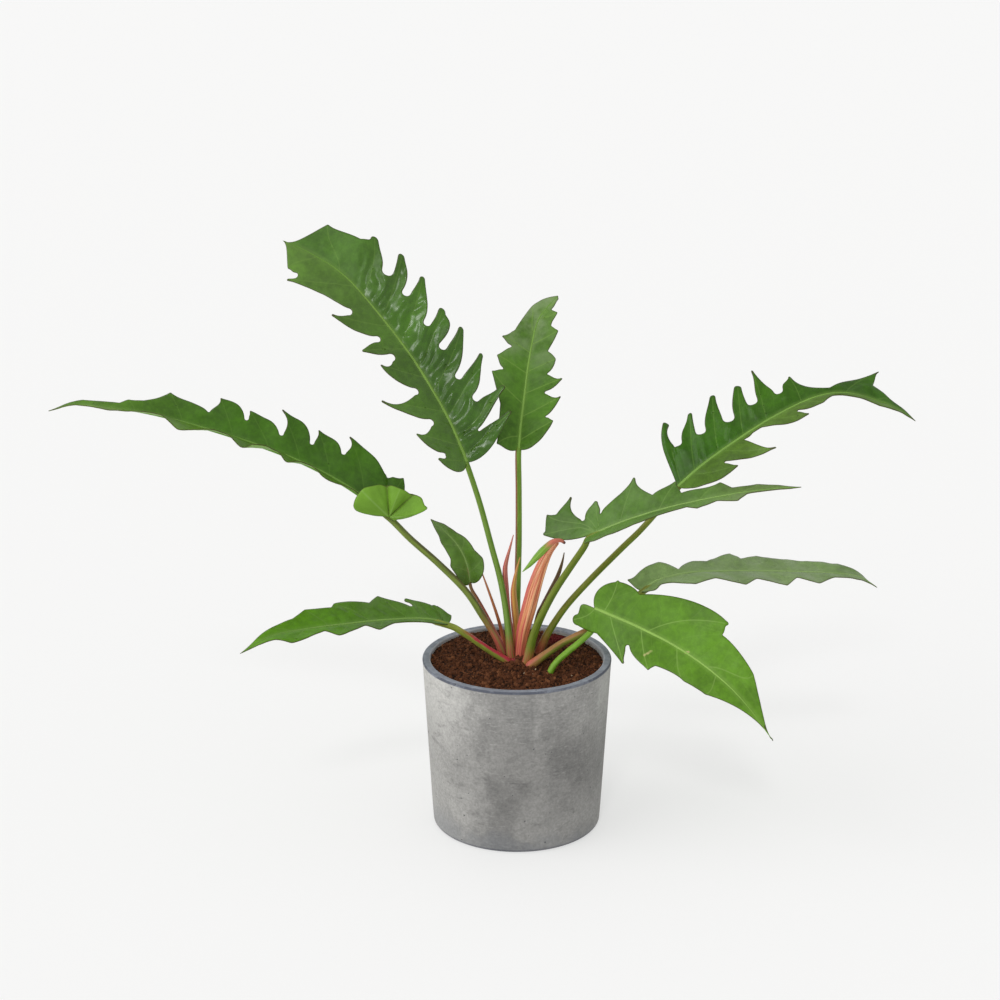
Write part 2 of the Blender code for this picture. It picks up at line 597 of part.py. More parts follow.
def build():
    clear_scene()
    scene_root = bpy.context.scene.collection
    parts = bpy.data.collections.new("narrow_escape_philodendron")
    cutters = bpy.data.collections.new("cutters")
    scene_root.children.link(parts)
    scene_root.children.link(cutters)

    make_pot(parts)
    turned("crown", CROWN_PROFILE, CROWN_STEPS, CROWN_CENTRE, "crown", parts)
    crown_cutter = turned("crown_clearance", grown_profile(CROWN_PROFILE, GAP + 0.05), CROWN_STEPS,
                          CROWN_CENTRE, "crown", cutters)
    hide_cutter(crown_cutter)

    blade_colours = {"front_right": "blade_pale", "new": "pink"}
    stalk_colours = {"low_right": "stalk_brown", "small_left": "stalk_brown", "low_left": "stalk_brown"}
    for name, spec in LEAVES.items():
        leaf = Leaf(spec)
        make_blade("blade_" + name, leaf, blade_colours.get(name, "blade"), parts)
        if "stalk" in spec:
            stalk = make_stalk("stalk_" + name, leaf, stalk_colours.get(name, "stalk"), parts)
            if not spec.get("own_hole"):
                cut(stalk, crown_cutter)

    make_soil(parts, [crown_cutter, make_hole(cutters)])

    spike_colours = {"spike_pink": "pink", "spike_gold": "gold", "spike_brown": "brown",
                     "spike_thin": "gold", "new_leaf_sheath": "pink"}
    for name, spec in SPIKES.items():
        spike = make_tube(name, rooted(spec["route"]), spec["radii"][:1] + spec["radii"],
                          spike_colours[name], parts)
        cut(spike, crown_cutter)


build()
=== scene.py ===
import math

import bmesh
import bpy
import numpy as np
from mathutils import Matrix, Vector, noise
from mathutils.geometry import delaunay_2d_cdt


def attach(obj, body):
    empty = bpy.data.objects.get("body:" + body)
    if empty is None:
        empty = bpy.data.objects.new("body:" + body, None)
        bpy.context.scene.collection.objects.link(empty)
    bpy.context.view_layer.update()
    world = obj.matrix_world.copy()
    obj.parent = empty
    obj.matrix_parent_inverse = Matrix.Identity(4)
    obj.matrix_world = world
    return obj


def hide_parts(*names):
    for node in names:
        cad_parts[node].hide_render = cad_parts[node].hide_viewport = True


# A potted philodendron with long, deeply lobed leaves, dressed over its CAD frame.
# Lengths are in millimetres, and mm turns them into metres. The camera looks from the -Y side.
mm = 0.001

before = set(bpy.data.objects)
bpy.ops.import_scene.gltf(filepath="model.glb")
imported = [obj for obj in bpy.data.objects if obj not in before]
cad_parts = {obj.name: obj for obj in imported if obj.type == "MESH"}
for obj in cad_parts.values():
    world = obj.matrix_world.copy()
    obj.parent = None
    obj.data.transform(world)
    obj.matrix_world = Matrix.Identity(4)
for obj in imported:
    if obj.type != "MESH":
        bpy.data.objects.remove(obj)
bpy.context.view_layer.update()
print("frame loaded:", len(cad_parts), "nodes")

camera = {"place": (-17.0, -2212.5, 1052.5), "downTilt": 17.813, "lens": 85.0, "sensor": 36.0}
light = {
    "sky": (1.0, 1.0, 1.0), "skyStrength": 0.74,
    "side": {"colour": (1.0, 0.99, 0.975), "strength": 1.9, "spread": 70.0, "from": (-0.92, -0.3, 0.3)},
    "glint": {"colour": (1.0, 1.0, 1.0), "strength": 0.5, "spread": 9.0, "from": (-0.12, -0.7, 0.7)},
    "floor": (0.4, 0.4, 0.398), "floorGlow": (0.508, 0.508, 0.506), "floorReach": 30000.0,
}


def unit(vector):
    vector = np.asarray(vector, float)
    return vector / np.linalg.norm(vector)


def unitRows(rows):
    return rows / np.maximum(np.linalg.norm(rows, axis=-1, keepdims=True), 1e-12)


def keyed(keys, share):
    shares = [key[0] for key in keys]
    columns = [np.interp(share, shares, [key[1 + k] for key in keys]) for k in range(len(keys[0]) - 1)]
    return np.stack(columns, -1)


def bezier(p0, p1, p2, p3, count, closed=False):
    t = np.linspace(0, 1, count, endpoint=closed)[:, None]
    u = 1 - t
    return u ** 3 * p0 + 3 * u * u * t * p1 + 3 * u * t * t * p2 + t ** 3 * p3


def runAlong(line):
    return np.concatenate([[0], np.cumsum(np.linalg.norm(np.diff(line, axis=0), axis=1))])


def sampled(places, run, rows):
    return np.stack([np.interp(places, run, rows[:, k]) for k in range(rows.shape[1])], -1)


def smoothRoute(points, count):
    # Catmull-Rom through the points, evenly spaced along its length
    p = np.asarray(points, float)
    p = np.vstack([2 * p[0] - p[1], p, 2 * p[-1] - p[-2]])
    t = np.linspace(0, 1, 40, endpoint=False)[:, None]
    dense = []
    for i in range(1, len(p) - 2):
        a, b, c, d = p[i - 1:i + 3]
        dense.append(0.5 * (2 * b + (c - a) * t + (2 * a - 5 * b + 4 * c - d) * t ** 2
                            + (3 * b - a - 3 * c + d) * t ** 3))
    dense = np.vstack(dense + [p[-2:-1]])
    run = runAlong(dense)
    length = np.linspace(0, run[-1], count)
    return sampled(length, run, dense), length


def evenLine(line, step):
    run = runAlong(line)
    return sampled(np.linspace(0, run[-1], max(int(run[-1] / step), 1) + 1), run, line)


def newObject(name, data):
    made = bpy.data.objects.new(name, data)
    bpy.context.scene.collection.objects.link(made)
    return made


def bakedMesh(holder):
    # what an object's modifiers make of it, as a plain mesh; the object itself goes
    depsgraph = bpy.context.evaluated_depsgraph_get()
    mesh = bpy.data.meshes.new_from_object(holder.evaluated_get(depsgraph), preserve_all_data_layers=True,
                                           depsgraph=depsgraph).copy()
    bpy.data.objects.remove(holder, do_unlink=True)
    return mesh


def cleaned(mesh, gap, shift=(0, 0, 0)):
    # points nearer than the gap are merged, faces turned outward, and the whole is moved
    builder = bmesh.new()
    builder.from_mesh(mesh)
    bmesh.ops.remove_doubles(builder, verts=builder.verts, dist=gap)
    bmesh.ops.recalc_face_normals(builder, faces=builder.faces)
    bmesh.ops.translate(builder, verts=builder.verts, vec=shift)
    builder.to_mesh(mesh)
    builder.free()


def joined(name, things):
    first = things[0]
    with bpy.context.temp_override(active_object=first, object=first, selected_objects=things,
                                   selected_editable_objects=things):
        bpy.ops.object.join()
    first.name = name
    first.data.name = name
    return first


def floatAttribute(mesh, name, values):
    made = mesh.attributes.new(name, "FLOAT", "POINT")
    made.data.foreach_set("value", np.asarray(values, np.float32))


def addNode(tree, kind, inputs=None, **settings):
    node = tree.nodes.new(kind)
    for key, value in settings.items():
        setattr(node, key, value)
    for key, value in (inputs or {}).items():
        socket = node.inputs[key]
        if isinstance(value, bpy.types.NodeSocket):
            tree.links.new(value, socket)
        else:
            socket.default_value = value
    return node


def treeOf(*values):
    # the node tree of the first socket among the values
    return next(value.id_data for value in values if isinstance(value, bpy.types.NodeSocket))


def mixColour(factor, first, second, blend="MIX"):
    first, second = (value if isinstance(value, bpy.types.NodeSocket) else (*value, 1.0)
                     for value in (first, second))
    return addNode(treeOf(factor, first, second), "ShaderNodeMix", {0: factor, 6: first, 7: second},
                   data_type="RGBA", blend_type=blend).outputs[2]


def mathNode(operation, first, second=0.0):
    return addNode(treeOf(first, second), "ShaderNodeMath", {0: first, 1: second},
                   operation=operation).outputs[0]


def times(first, second):
    return mathNode("MULTIPLY", first, second)


def plus(first, second):
    return mathNode("ADD", first, second)


def vectorNode(operation, first, second=None):
    # second is a vector, or a number where it scales the first
    inputs = {0: first} if second is None else {0: first, "Scale" if operation == "SCALE" else 1: second}
    made = addNode(treeOf(first), "ShaderNodeVectorMath", inputs, operation=operation)
    return made.outputs["Value" if operation in ("LENGTH", "DISTANCE", "DOT_PRODUCT") else "Vector"]


def ranged(value, low, high, toLow=0.0, toHigh=1.0):
    return addNode(value.id_data, "ShaderNodeMapRange",
                   {"Value": value, "From Min": low, "From Max": high, "To Min": toLow, "To Max": toHigh},
                   interpolation_type="SMOOTHSTEP").outputs["Result"]


def noiseValue(tree, scale, detail=3.0, roughness=0.5, stretch=None, warp=0.0):
    place = addNode(tree, "ShaderNodeTexCoord").outputs["Object"]
    if stretch:
        place = addNode(tree, "ShaderNodeMapping", {"Vector": place, "Scale": stretch}).outputs["Vector"]
    return addNode(tree, "ShaderNodeTexNoise", {"Vector": place, "Scale": scale, "Detail": detail,
                                                "Roughness": roughness, "Distortion": warp}).outputs["Fac"]


def attributeValue(tree, name):
    return addNode(tree, "ShaderNodeAttribute", attribute_name=name).outputs["Fac"]


def stemNoise(tree, around, along, detail=3.0, roughness=0.6):
    # streaks that follow a swept stem, from the attributes its sweep leaves on it
    ring = addNode(tree, "ShaderNodeAttribute", attribute_name="ring").outputs["Vector"]
    parts = addNode(tree, "ShaderNodeSeparateXYZ", {"Vector": ring})
    place = addNode(tree, "ShaderNodeCombineXYZ", {
        "X": times(parts.outputs["X"], around),
        "Y": times(parts.outputs["Y"], around),
        "Z": times(attributeValue(tree, "along"), along)}).outputs[0]
    return addNode(tree, "ShaderNodeTexNoise", {"Vector": place, "Scale": 1.0, "Detail": detail,
                                                "Roughness": roughness}).outputs["Fac"]


def facing(tree, direction):
    # how far the surface looks in a direction, -1 to 1
    normal = addNode(tree, "ShaderNodeNewGeometry").outputs["Normal"]
    return vectorNode("DOT_PRODUCT", normal, tuple(float(c) for c in unit(direction)))


def shade(colour, share):
    return tuple(min(share * c, 1) for c in colour)


def newMaterial(name, roughness, specular):
    made = bpy.data.materials.new(name)
    made.use_nodes = True
    shader = made.node_tree.nodes["Principled BSDF"]
    shader.inputs["Roughness"].default_value = roughness
    shader.inputs["Specular IOR Level"].default_value = specular
    return made, made.node_tree, shader


def dress(shader, colour, height=None, strength=0.0, distance=0.0, rough=None):
    tree = shader.id_data
    tree.links.new(colour, shader.inputs["Base Color"])
    if rough is not None:
        tree.links.new(rough, shader.inputs["Roughness"])
    if height is not None:
        bump = addNode(tree, "ShaderNodeBump", {"Height": height, "Strength": strength, "Distance": distance})
        tree.links.new(bump.outputs["Normal"], shader.inputs["Normal"])


def geometryTree(name, inputs):
    tree = bpy.data.node_groups.new(name, "GeometryNodeTree")
    face = tree.interface
    face.new_socket("Geometry", in_out="INPUT", socket_type="NodeSocketGeometry")
    for inputName, kind, value in inputs:
        socket = face.new_socket(inputName, in_out="INPUT", socket_type="NodeSocket" + kind)
        if value is not None:
            socket.default_value = value
    face.new_socket("Geometry", in_out="OUTPUT", socket_type="NodeSocketGeometry")
    return tree, addNode(tree, "NodeGroupInput").outputs


def closeTree(tree, geometry, material):
    finished = addNode(tree, "GeometryNodeSetMaterial", {"Geometry": geometry, "Material": material})
    addNode(tree, "NodeGroupOutput", {"Geometry": finished.outputs[0]})
    return tree


def makeStage():
    reach = light["floorReach"] * mm
    mesh = bpy.data.meshes.new("floor")
    mesh.from_pydata([(-reach, -reach, 0), (reach, -reach, 0), (reach, reach, 0), (-reach, reach, 0)], [],
                     [(0, 1, 2, 3)])
    floor = newObject("floor", mesh)
    made, _, shader = newMaterial("floorPaper", 0.9, specular=0.1)
    # the paper glows a little, which keeps the shadows on it as faint as a studio's
    shader.inputs["Base Color"].default_value = (*light["floor"], 1)
    shader.inputs["Emission Color"].default_value = (*light["floorGlow"], 1)
    shader.inputs["Emission Strength"].default_value = 1.0
    mesh.materials.append(made)

    world = bpy.data.worlds.new("studio")
    world.use_nodes = True
    background = world.node_tree.nodes["Background"]
    background.inputs["Color"].default_value = (*light["sky"], 1)
    background.inputs["Strength"].default_value = light["skyStrength"]
    bpy.context.scene.world = world

    for name in ("side", "glint"):
        lamp = bpy.data.lights.new(name, "SUN")
        lamp.energy = light[name]["strength"]
        lamp.angle = math.radians(light[name]["spread"])
        lamp.color = light[name]["colour"]
        shining = newObject(name, lamp)
        shining.rotation_euler = Vector(light[name]["from"]).to_track_quat("Z", "Y").to_euler()

    lens = bpy.data.cameras.new("camera")
    lens.lens = camera["lens"]
    lens.sensor_width = camera["sensor"]
    lens.clip_end = 200
    lens.dof.use_dof = False
    eye = newObject("camera", lens)
    eye.location = Vector(camera["place"]) * mm
    eye.rotation_euler = (math.radians(90 - camera["downTilt"]), 0, 0)
    bpy.context.scene.camera = eye
    bpy.context.scene.view_settings.view_transform = "Standard"


makeStage()
print("stage ready")


pot = {
    "height": 176.4, "topRadius": 95.0, "baseRadius": 85.0, "wall": 8.0, "floor": 12.0,
    "baseRounding": 4.0, "rimRounding": 1.6, "steps": 192,
    "grey": (0.262, 0.258, 0.247), "darkGrey": (0.172, 0.17, 0.164), "paleGrey": (0.37, 0.365, 0.35),
    "rimGrey": (0.185, 0.2, 0.235), "rimDark": (0.06, 0.066, 0.088), "rimPaleAndHighlight": (0.4, 0.41, 0.43),
    # how deep the rim's colour reaches down, and the radii where its dark outer band
    # and its painted highlight along the inner lip set in
    "rimDepth": (3.1, 2.1), "outerBand": (93.6, 94.4), "innerHighlightBand": (88.9, 87.8),
    "footBlue": (0.165, 0.177, 0.198), "chip": (0.045, 0.045, 0.05),
    # heights of the points along its wall, inside and outside
    "innerLevels": (60, 110, 150, 165), "outerLevels": (172.6, 171.8, 150, 110, 60, 20),
}


def arc(centre, radius, start, end, steps):
    angles = [math.radians(start + (end - start) * i / steps) for i in range(steps + 1)]
    return [(centre[0] + radius * math.cos(a), centre[1] + radius * math.sin(a)) for a in angles]


def innerRadius(height):
    slope = (pot["topRadius"] - pot["baseRadius"]) / pot["height"]
    return pot["baseRadius"] + slope * height - pot["wall"]


def turned(name, profile, steps, centre=(0, 0)):
    # profile is (radius, height) from the axis round to the axis
    mesh = bpy.data.meshes.new(name)
    mesh.from_pydata([(radius * mm, 0, height * mm) for radius, height in profile],
                     [(i, i + 1) for i in range(len(profile) - 1)], [])
    outlineObject = newObject(name + "Outline", mesh)
    screw = outlineObject.modifiers.new("turn", "SCREW")
    screw.steps = steps
    screw.render_steps = steps
    screw.use_merge_vertices = True
    screw.merge_threshold = 0.00001
    solid = bakedMesh(outlineObject)
    cleaned(solid, 1e-6, Vector((*centre, 0)) * mm)
    solid.name = name
    solid.shade_smooth()
    return newObject(name, solid)


def rimColour(tree, radius):
    # grey with uneven wear, dark towards its outer edge, with a painted highlight towards its inner one
    unevenBands = noiseValue(tree, 55, 4, 0.65)
    outer, inner = (ranged(radius, *(edge * mm for edge in pot[band])) for band in ("outerBand", "innerHighlightBand"))
    colour = mixColour(ranged(noiseValue(tree, 85, 4, 0.65), 0.35, 0.7), pot["rimGrey"],
                       shade(pot["rimGrey"], 1.45))
    colour = mixColour(times(outer, ranged(unevenBands, 0.34, 0.54, 0.1, 0.85)), colour, pot["rimDark"])
    # the pale band along the inner lip is a painted highlight
    return mixColour(times(inner, ranged(unevenBands, 0.36, 0.5, 0.0, 0.7)), colour, pot["rimPaleAndHighlight"])


def potMaterial():
    made, tree, shader = newMaterial("concrete", 0.72, specular=0.25)
    place = addNode(tree, "ShaderNodeTexCoord").outputs["Object"]
    parts = addNode(tree, "ShaderNodeSeparateXYZ", {"Vector": place})
    sideways, height = parts.outputs["X"], parts.outputs["Z"]
    flat = addNode(tree, "ShaderNodeCombineXYZ", {"X": sideways, "Y": parts.outputs["Y"]})
    clouds = ranged(noiseValue(tree, 17, 5, 0.62, warp=0.35), 0.36, 0.66)
    colour = mixColour(clouds, pot["darkGrey"], pot["grey"])
    patches = ranged(noiseValue(tree, 7, 4, 0.6, (1, 1, 0.8), warp=0.3), 0.45, 0.68, 0.0, 0.55)
    colour = mixColour(patches, colour, pot["paleGrey"])
    # painted light down its left side, where the light falls, then dark smears and pale scuffs
    paintedLeftLight = plus(sideways, times(clouds, -0.03))
    colour = mixColour(ranged(paintedLeftLight, -0.025, -0.09, 0.0, 0.9), colour, pot["paleGrey"])
    smears = ranged(noiseValue(tree, 42, 5, 0.68, (1, 1, 2.6), warp=0.5), 0.53, 0.72, 0.0, 0.5)
    colour = mixColour(smears, colour, shade(pot["darkGrey"], 0.62))
    scuffs = ranged(noiseValue(tree, 120, 5, 0.72, (1, 1, 4.5), warp=0.2), 0.5, 0.72, 0.0, 0.45)
    colour = mixColour(scuffs, colour, pot["paleGrey"])
    # painted light on its right side, where the shading would fall off
    colour = mixColour(ranged(sideways, 0.045, 0.09, 0.0, 0.3), colour, pot["paleGrey"])
    # fine grain, with painted light that makes it lighter upwards and darker low down
    grain = ranged(noiseValue(tree, 380, 3, 0.65), 0.3, 0.7, 0.84, 1.1)
    grain = times(grain, ranged(height, 0.08, 0.17, 0.87, 1.28))
    grey = addNode(tree, "ShaderNodeCombineXYZ", {"X": grain, "Y": grain, "Z": grain}).outputs[0]
    colour = mixColour(1.0, colour, grey, "MULTIPLY")
    # a bluish foot with a dark line under it
    foot = ranged(plus(height, times(clouds, 0.03)), 0.04, 0.008, 0.0, 0.35)
    colour = mixColour(foot, colour, pot["footBlue"])
    colour = mixColour(ranged(height, 0.0045, 0.0005, 0.0, 0.75), colour, pot["rimDark"])
    top = pot["height"] * mm
    rim = ranged(height, *(top - depth * mm for depth in pot["rimDepth"]))
    colour = mixColour(rim, colour, rimColour(tree, vectorNode("LENGTH", flat.outputs[0])))
    # pale flecks below the rim, and pits all over
    flecks = ranged(noiseValue(tree, 210, 3, 0.6), 0.7, 0.74)
    flecks = times(flecks, ranged(height, top - 0.0075, top - 0.004))
    colour = mixColour(flecks, colour, pot["rimPaleAndHighlight"])
    chips = ranged(noiseValue(tree, 240, 2, 0.5), 0.725, 0.75, 0.0, 0.8)
    colour = mixColour(chips, colour, pot["chip"])
    dress(shader, colour, noiseValue(tree, 260, 5, 0.7), 0.3, 0.0007,
          rough=ranged(noiseValue(tree, 60, 4), 0.3, 0.7, 0.55, 0.8))
    return made


def makePot():
    high, rounding = pot["height"], pot["rimRounding"]
    rimInner = innerRadius(high)
    profile = [(0, pot["floor"]), (innerRadius(pot["floor"]), pot["floor"])]
    profile += [(innerRadius(h), h) for h in pot["innerLevels"]]
    profile += arc((rimInner + rounding, high - rounding), rounding, 180, 90, 5)
    profile += arc((pot["topRadius"] - rounding, high - rounding), rounding, 90, 0, 5)
    slope = (pot["topRadius"] - pot["baseRadius"]) / high
    profile += [(pot["baseRadius"] + slope * h, h) for h in pot["outerLevels"]]
    foot = pot["baseRounding"]
    profile += arc((pot["baseRadius"] - foot, foot), foot, 0, -90, 7)
    profile.append((0, 0))
    body = turned("concretePot", profile, pot["steps"])
    body.data.materials.clear()
    body.data.materials.append(potMaterial())
    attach(body, "root")
    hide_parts("pot")


makePot()
print("pot ready")


soil = {
    "edgeHeight": 171.0, "middleHeight": 171.5, "clearance": 0.3, "rings": 46, "steps": 150,
    "roughness": 1.8, "lumpSizes": (14, 5),
    "mound": 4.5, "moundReach": 22.0, "highSide": (-0.8, 0.6), "tilt": 2.2,
    "dark": (0.011, 0.004, 0.002), "warm": (0.088, 0.03, 0.012), "pale": (0.22, 0.088, 0.036),
    "red": (0.12, 0.008, 0.012), "redPlace": (44.0, 62.0, 172.0), "redReach": 32.0,
    "perlite": ((0.3, 0.2, 0.11), (0.6, 0.5, 0.36)),
    "crumbs": 6200, "crumbSize": 1.35, "bits": 12, "bitSize": 1.5, "seed": 5,
    # share of the crumbs, smallest and largest as shares of crumbSize, and how many times as long as wide
    "kinds": {"fineCrumbs": (0.8, 0.5, 1.15, 1.0), "coarseCrumbs": (0.14, 1.2, 2.3, 1.0),
              "coirFibres": (0.06, 0.2, 0.42, 11.0)},
}
crown = {
    "centre": (2.0, 7.0), "steps": 64,
    "profile": [(0, 176.5), (9, 175.5), (16, 173), (22, 167), (23, 158), (15, 148), (0, 143)],
    "lumpSizes": (6, 2.4), "lumpHeight": 0.9, "lumpRise": 4,
    "brown": (0.11, 0.04, 0.022), "crimson": (0.26, 0.035, 0.035),
}


def soilHeight(x, y):
    radius = math.hypot(x, y)
    share = min(radius / innerRadius(soil["edgeHeight"]), 1)
    level = soil["middleHeight"] + (soil["edgeHeight"] - soil["middleHeight"]) * share
    away = math.hypot(x - crown["centre"][0], y - crown["centre"][1])
    level += soil["mound"] * math.exp(-(away / soil["moundReach"]) ** 2)
    leaning = (x * soil["highSide"][0] + y * soil["highSide"][1]) / innerRadius(soil["edgeHeight"])
    level += soil["tilt"] * leaning * abs(leaning)
    large, small = soil["lumpSizes"]
    lumps = noise.noise(Vector((x, y, 0)) / large) + 0.5 * noise.noise(Vector((x, y, 7)) / small)
    return level + soil["roughness"] * lumps * (1 - share ** 6)


def soilMaterial():
    made, tree, shader = newMaterial("coir", 0.85, specular=0.12)
    clouds = ranged(noiseValue(tree, 190, 3, 0.6), 0.42, 0.62)
    colour = mixColour(clouds, soil["dark"], soil["warm"])
    tone = attributeValue(tree, "crumbTone")
    colour = mixColour(ranged(tone, 0.3, 0.6, 0.0, 0.75), colour, soil["warm"])
    colour = mixColour(ranged(tone, 0.8, 1.0, 0.0, 0.5), colour, soil["pale"])
    grain = ranged(noiseValue(tree, 800, 2), 0.45, 0.75, 0.0, 0.3)
    colour = mixColour(grain, colour, soil["pale"])
    place = addNode(tree, "ShaderNodeTexCoord").outputs["Object"]
    away = vectorNode("DISTANCE", place, tuple(c * mm for c in soil["redPlace"]))
    colour = mixColour(ranged(away, soil["redReach"] * mm, 0.004, 0.0, 0.8), colour, soil["red"])
    dress(shader, colour, noiseValue(tree, 1500, 3, 0.6), 0.6, 0.0004)
    return made


def perliteMaterial():
    made, tree, shader = newMaterial("perlite", 0.8, specular=0.3)
    dress(shader, mixColour(noiseValue(tree, 500, 3), *soil["perlite"]))
    return made


def crumbTree():
    # scatters uneven crumbs over a surface, and ends in plain faces of one material
    tree, given = geometryTree("crumbScatter", [
        ("Density", "Float", 1.0), ("Smallest", "Float", 0.001), ("Largest", "Float", 0.002),
        ("Stretch", "Float", 1.0), ("Seed", "Int", 1), ("Crumb Material", "Material", None)])
    seed = given["Seed"]

    def randomValue(kind, inputs):
        return addNode(tree, "FunctionNodeRandomValue", inputs, data_type=kind).outputs

    spread = addNode(tree, "GeometryNodeDistributePointsOnFaces",
                     {"Mesh": given["Geometry"], "Density": given["Density"], "Seed": seed}).outputs["Points"]
    pebble = addNode(tree, "GeometryNodeMeshIcoSphere", {"Radius": 1.0, "Subdivisions": 1}).outputs["Mesh"]
    turn = randomValue("FLOAT_VECTOR", {"Max": (6.28, 6.28, 6.28), "Seed": seed})["Value"]
    turn = addNode(tree, "FunctionNodeEulerToRotation", {"Euler": turn}).outputs[0]
    size = randomValue("FLOAT", {2: given["Smallest"], 3: given["Largest"], "Seed": seed})[1]
    shape = randomValue("FLOAT_VECTOR", {"Min": (0.55, 0.6, 0.5), "Max": (1.25, 1.1, 0.95)})["Value"]
    long = addNode(tree, "ShaderNodeCombineXYZ", {"X": given["Stretch"], "Y": 1.0, "Z": 1.0}).outputs[0]
    scale = vectorNode("SCALE", vectorNode("MULTIPLY", shape, long), size)
    placed = addNode(tree, "GeometryNodeInstanceOnPoints",
                     {"Points": spread, "Instance": pebble, "Scale": scale, "Rotation": turn}).outputs[0]
    tone = randomValue("FLOAT", {"Seed": seed})[1]
    toned = addNode(tree, "GeometryNodeStoreNamedAttribute",
                    {"Geometry": placed, "Name": "crumbTone", "Value": tone},
                    data_type="FLOAT", domain="INSTANCE").outputs[0]
    real = addNode(tree, "GeometryNodeRealizeInstances", {"Geometry": toned}).outputs[0]
    uneven = addNode(tree, "ShaderNodeTexNoise", {"Scale": 600.0, "Detail": 1.0}).outputs["Color"]
    uneven = vectorNode("SCALE", vectorNode("SUBTRACT", uneven, (0.5, 0.5, 0.5)), given["Smallest"])
    moved = addNode(tree, "GeometryNodeSetPosition", {"Geometry": real, "Offset": uneven}).outputs[0]
    return closeTree(tree, moved, given["Crumb Material"])


def setInputs(modifier, values):
    for item in modifier.node_group.interface.items_tree:
        if item.in_out == "INPUT" and item.name in values:
            modifier[item.identifier] = values[item.name]


def scattered(name, surface, tree, values):
    holder = newObject(name + "Surface", surface.copy())
    modifier = holder.modifiers.new("crumbs", "NODES")
    modifier.node_group = tree
    setInputs(modifier, values)
    return newObject(name, bakedMesh(holder))


def soilMesh(name, points, faces):
    mesh = bpy.data.meshes.new(name)
    mesh.from_pydata([tuple(c * mm for c in p) for p in points], [], faces)
    return mesh


def soilMeshes(reach):
    # the closed body of the soil, and its top alone
    floor = pot["floor"] + soil["clearance"]
    points, faces = [(0, 0, soilHeight(0, 0))], []
    rings, steps = soil["rings"], soil["steps"]
    for ring in range(1, rings + 1):
        radius = reach * ring / rings
        for step in range(steps):
            angle = 2 * math.pi * step / steps
            x, y = radius * math.cos(angle), radius * math.sin(angle)
            points.append((x, y, soilHeight(x, y)))

    def spot(ring, step):
        return 1 + (ring - 1) * steps + step % steps

    for step in range(steps):
        faces.append((0, spot(1, step), spot(1, step + 1)))
        for ring in range(1, rings):
            faces.append((spot(ring, step), spot(ring + 1, step), spot(ring + 1, step + 1),
                          spot(ring, step + 1)))
    topPoints, topFaces = len(points), len(faces)
    low = innerRadius(floor) - soil["clearance"]
    for step in range(steps):
        angle = 2 * math.pi * step / steps
        points.append((low * math.cos(angle), low * math.sin(angle), floor))
    points.append((0, 0, floor))
    for step in range(steps):
        after = (step + 1) % steps
        faces.append((spot(rings, step), topPoints + step, topPoints + after, spot(rings, step + 1)))
        faces.append((topPoints + after, topPoints + step, len(points) - 1))
    return soilMesh("soilBody", points, faces), soilMesh("soilTop", points[:topPoints], faces[:topFaces])


def makeSoil():
    reach = innerRadius(soil["edgeHeight"]) - soil["clearance"]
    body, top = soilMeshes(reach)
    body.shade_smooth()
    coir = soilMaterial()
    body.materials.append(coir)
    area = math.pi * (reach * mm) ** 2
    tree = crumbTree()
    size = soil["crumbSize"] * mm
    things = [newObject("soilBody", body)]
    for k, (name, (share, smallest, largest, stretch)) in enumerate(soil["kinds"].items()):
        things.append(scattered(name, top, tree, {
            "Density": soil["crumbs"] * share / area, "Smallest": size * smallest, "Largest": size * largest,
            "Stretch": stretch, "Seed": soil["seed"] + k, "Crumb Material": coir}))
    bit = soil["bitSize"] * mm
    things.append(scattered("paleBits", top, tree, {
        "Density": soil["bits"] / area, "Smallest": bit * 0.5, "Largest": bit, "Stretch": 1.0,
        "Seed": soil["seed"] + len(soil["kinds"]), "Crumb Material": perliteMaterial()}))
    whole = joined("soilAndCrumbs", things)
    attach(whole, "root")
    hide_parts("soil")


def makeCrown():
    profile, _ = smoothRoute(crown["profile"], 30)
    profile[0, 0] = profile[-1, 0] = 0
    mound = turned("stemBase", [tuple(p) for p in profile], crown["steps"], crown["centre"])
    large, small = crown["lumpSizes"]
    for vertex in mound.data.vertices:
        place = vertex.co / mm
        lump = noise.noise(place / large) + 0.5 * noise.noise(place / small)
        outward = Vector((place.x - crown["centre"][0], place.y - crown["centre"][1], crown["lumpRise"]))
        vertex.co += outward.normalized() * lump * crown["lumpHeight"] * mm
    made, tree, shader = newMaterial("stemBase", 0.7, specular=0.3)
    colour = mixColour(ranged(noiseValue(tree, 130, 4, 0.6), 0.4, 0.62), crown["brown"], crown["crimson"])
    dress(shader, colour, noiseValue(tree, 900, 4, 0.6), 0.5, 0.0005)
    mound.data.materials.clear()
    mound.data.materials.append(made)
    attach(mound, "root")
    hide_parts("crown")


makeSoil()
makeCrown()
print("soil and crown ready")
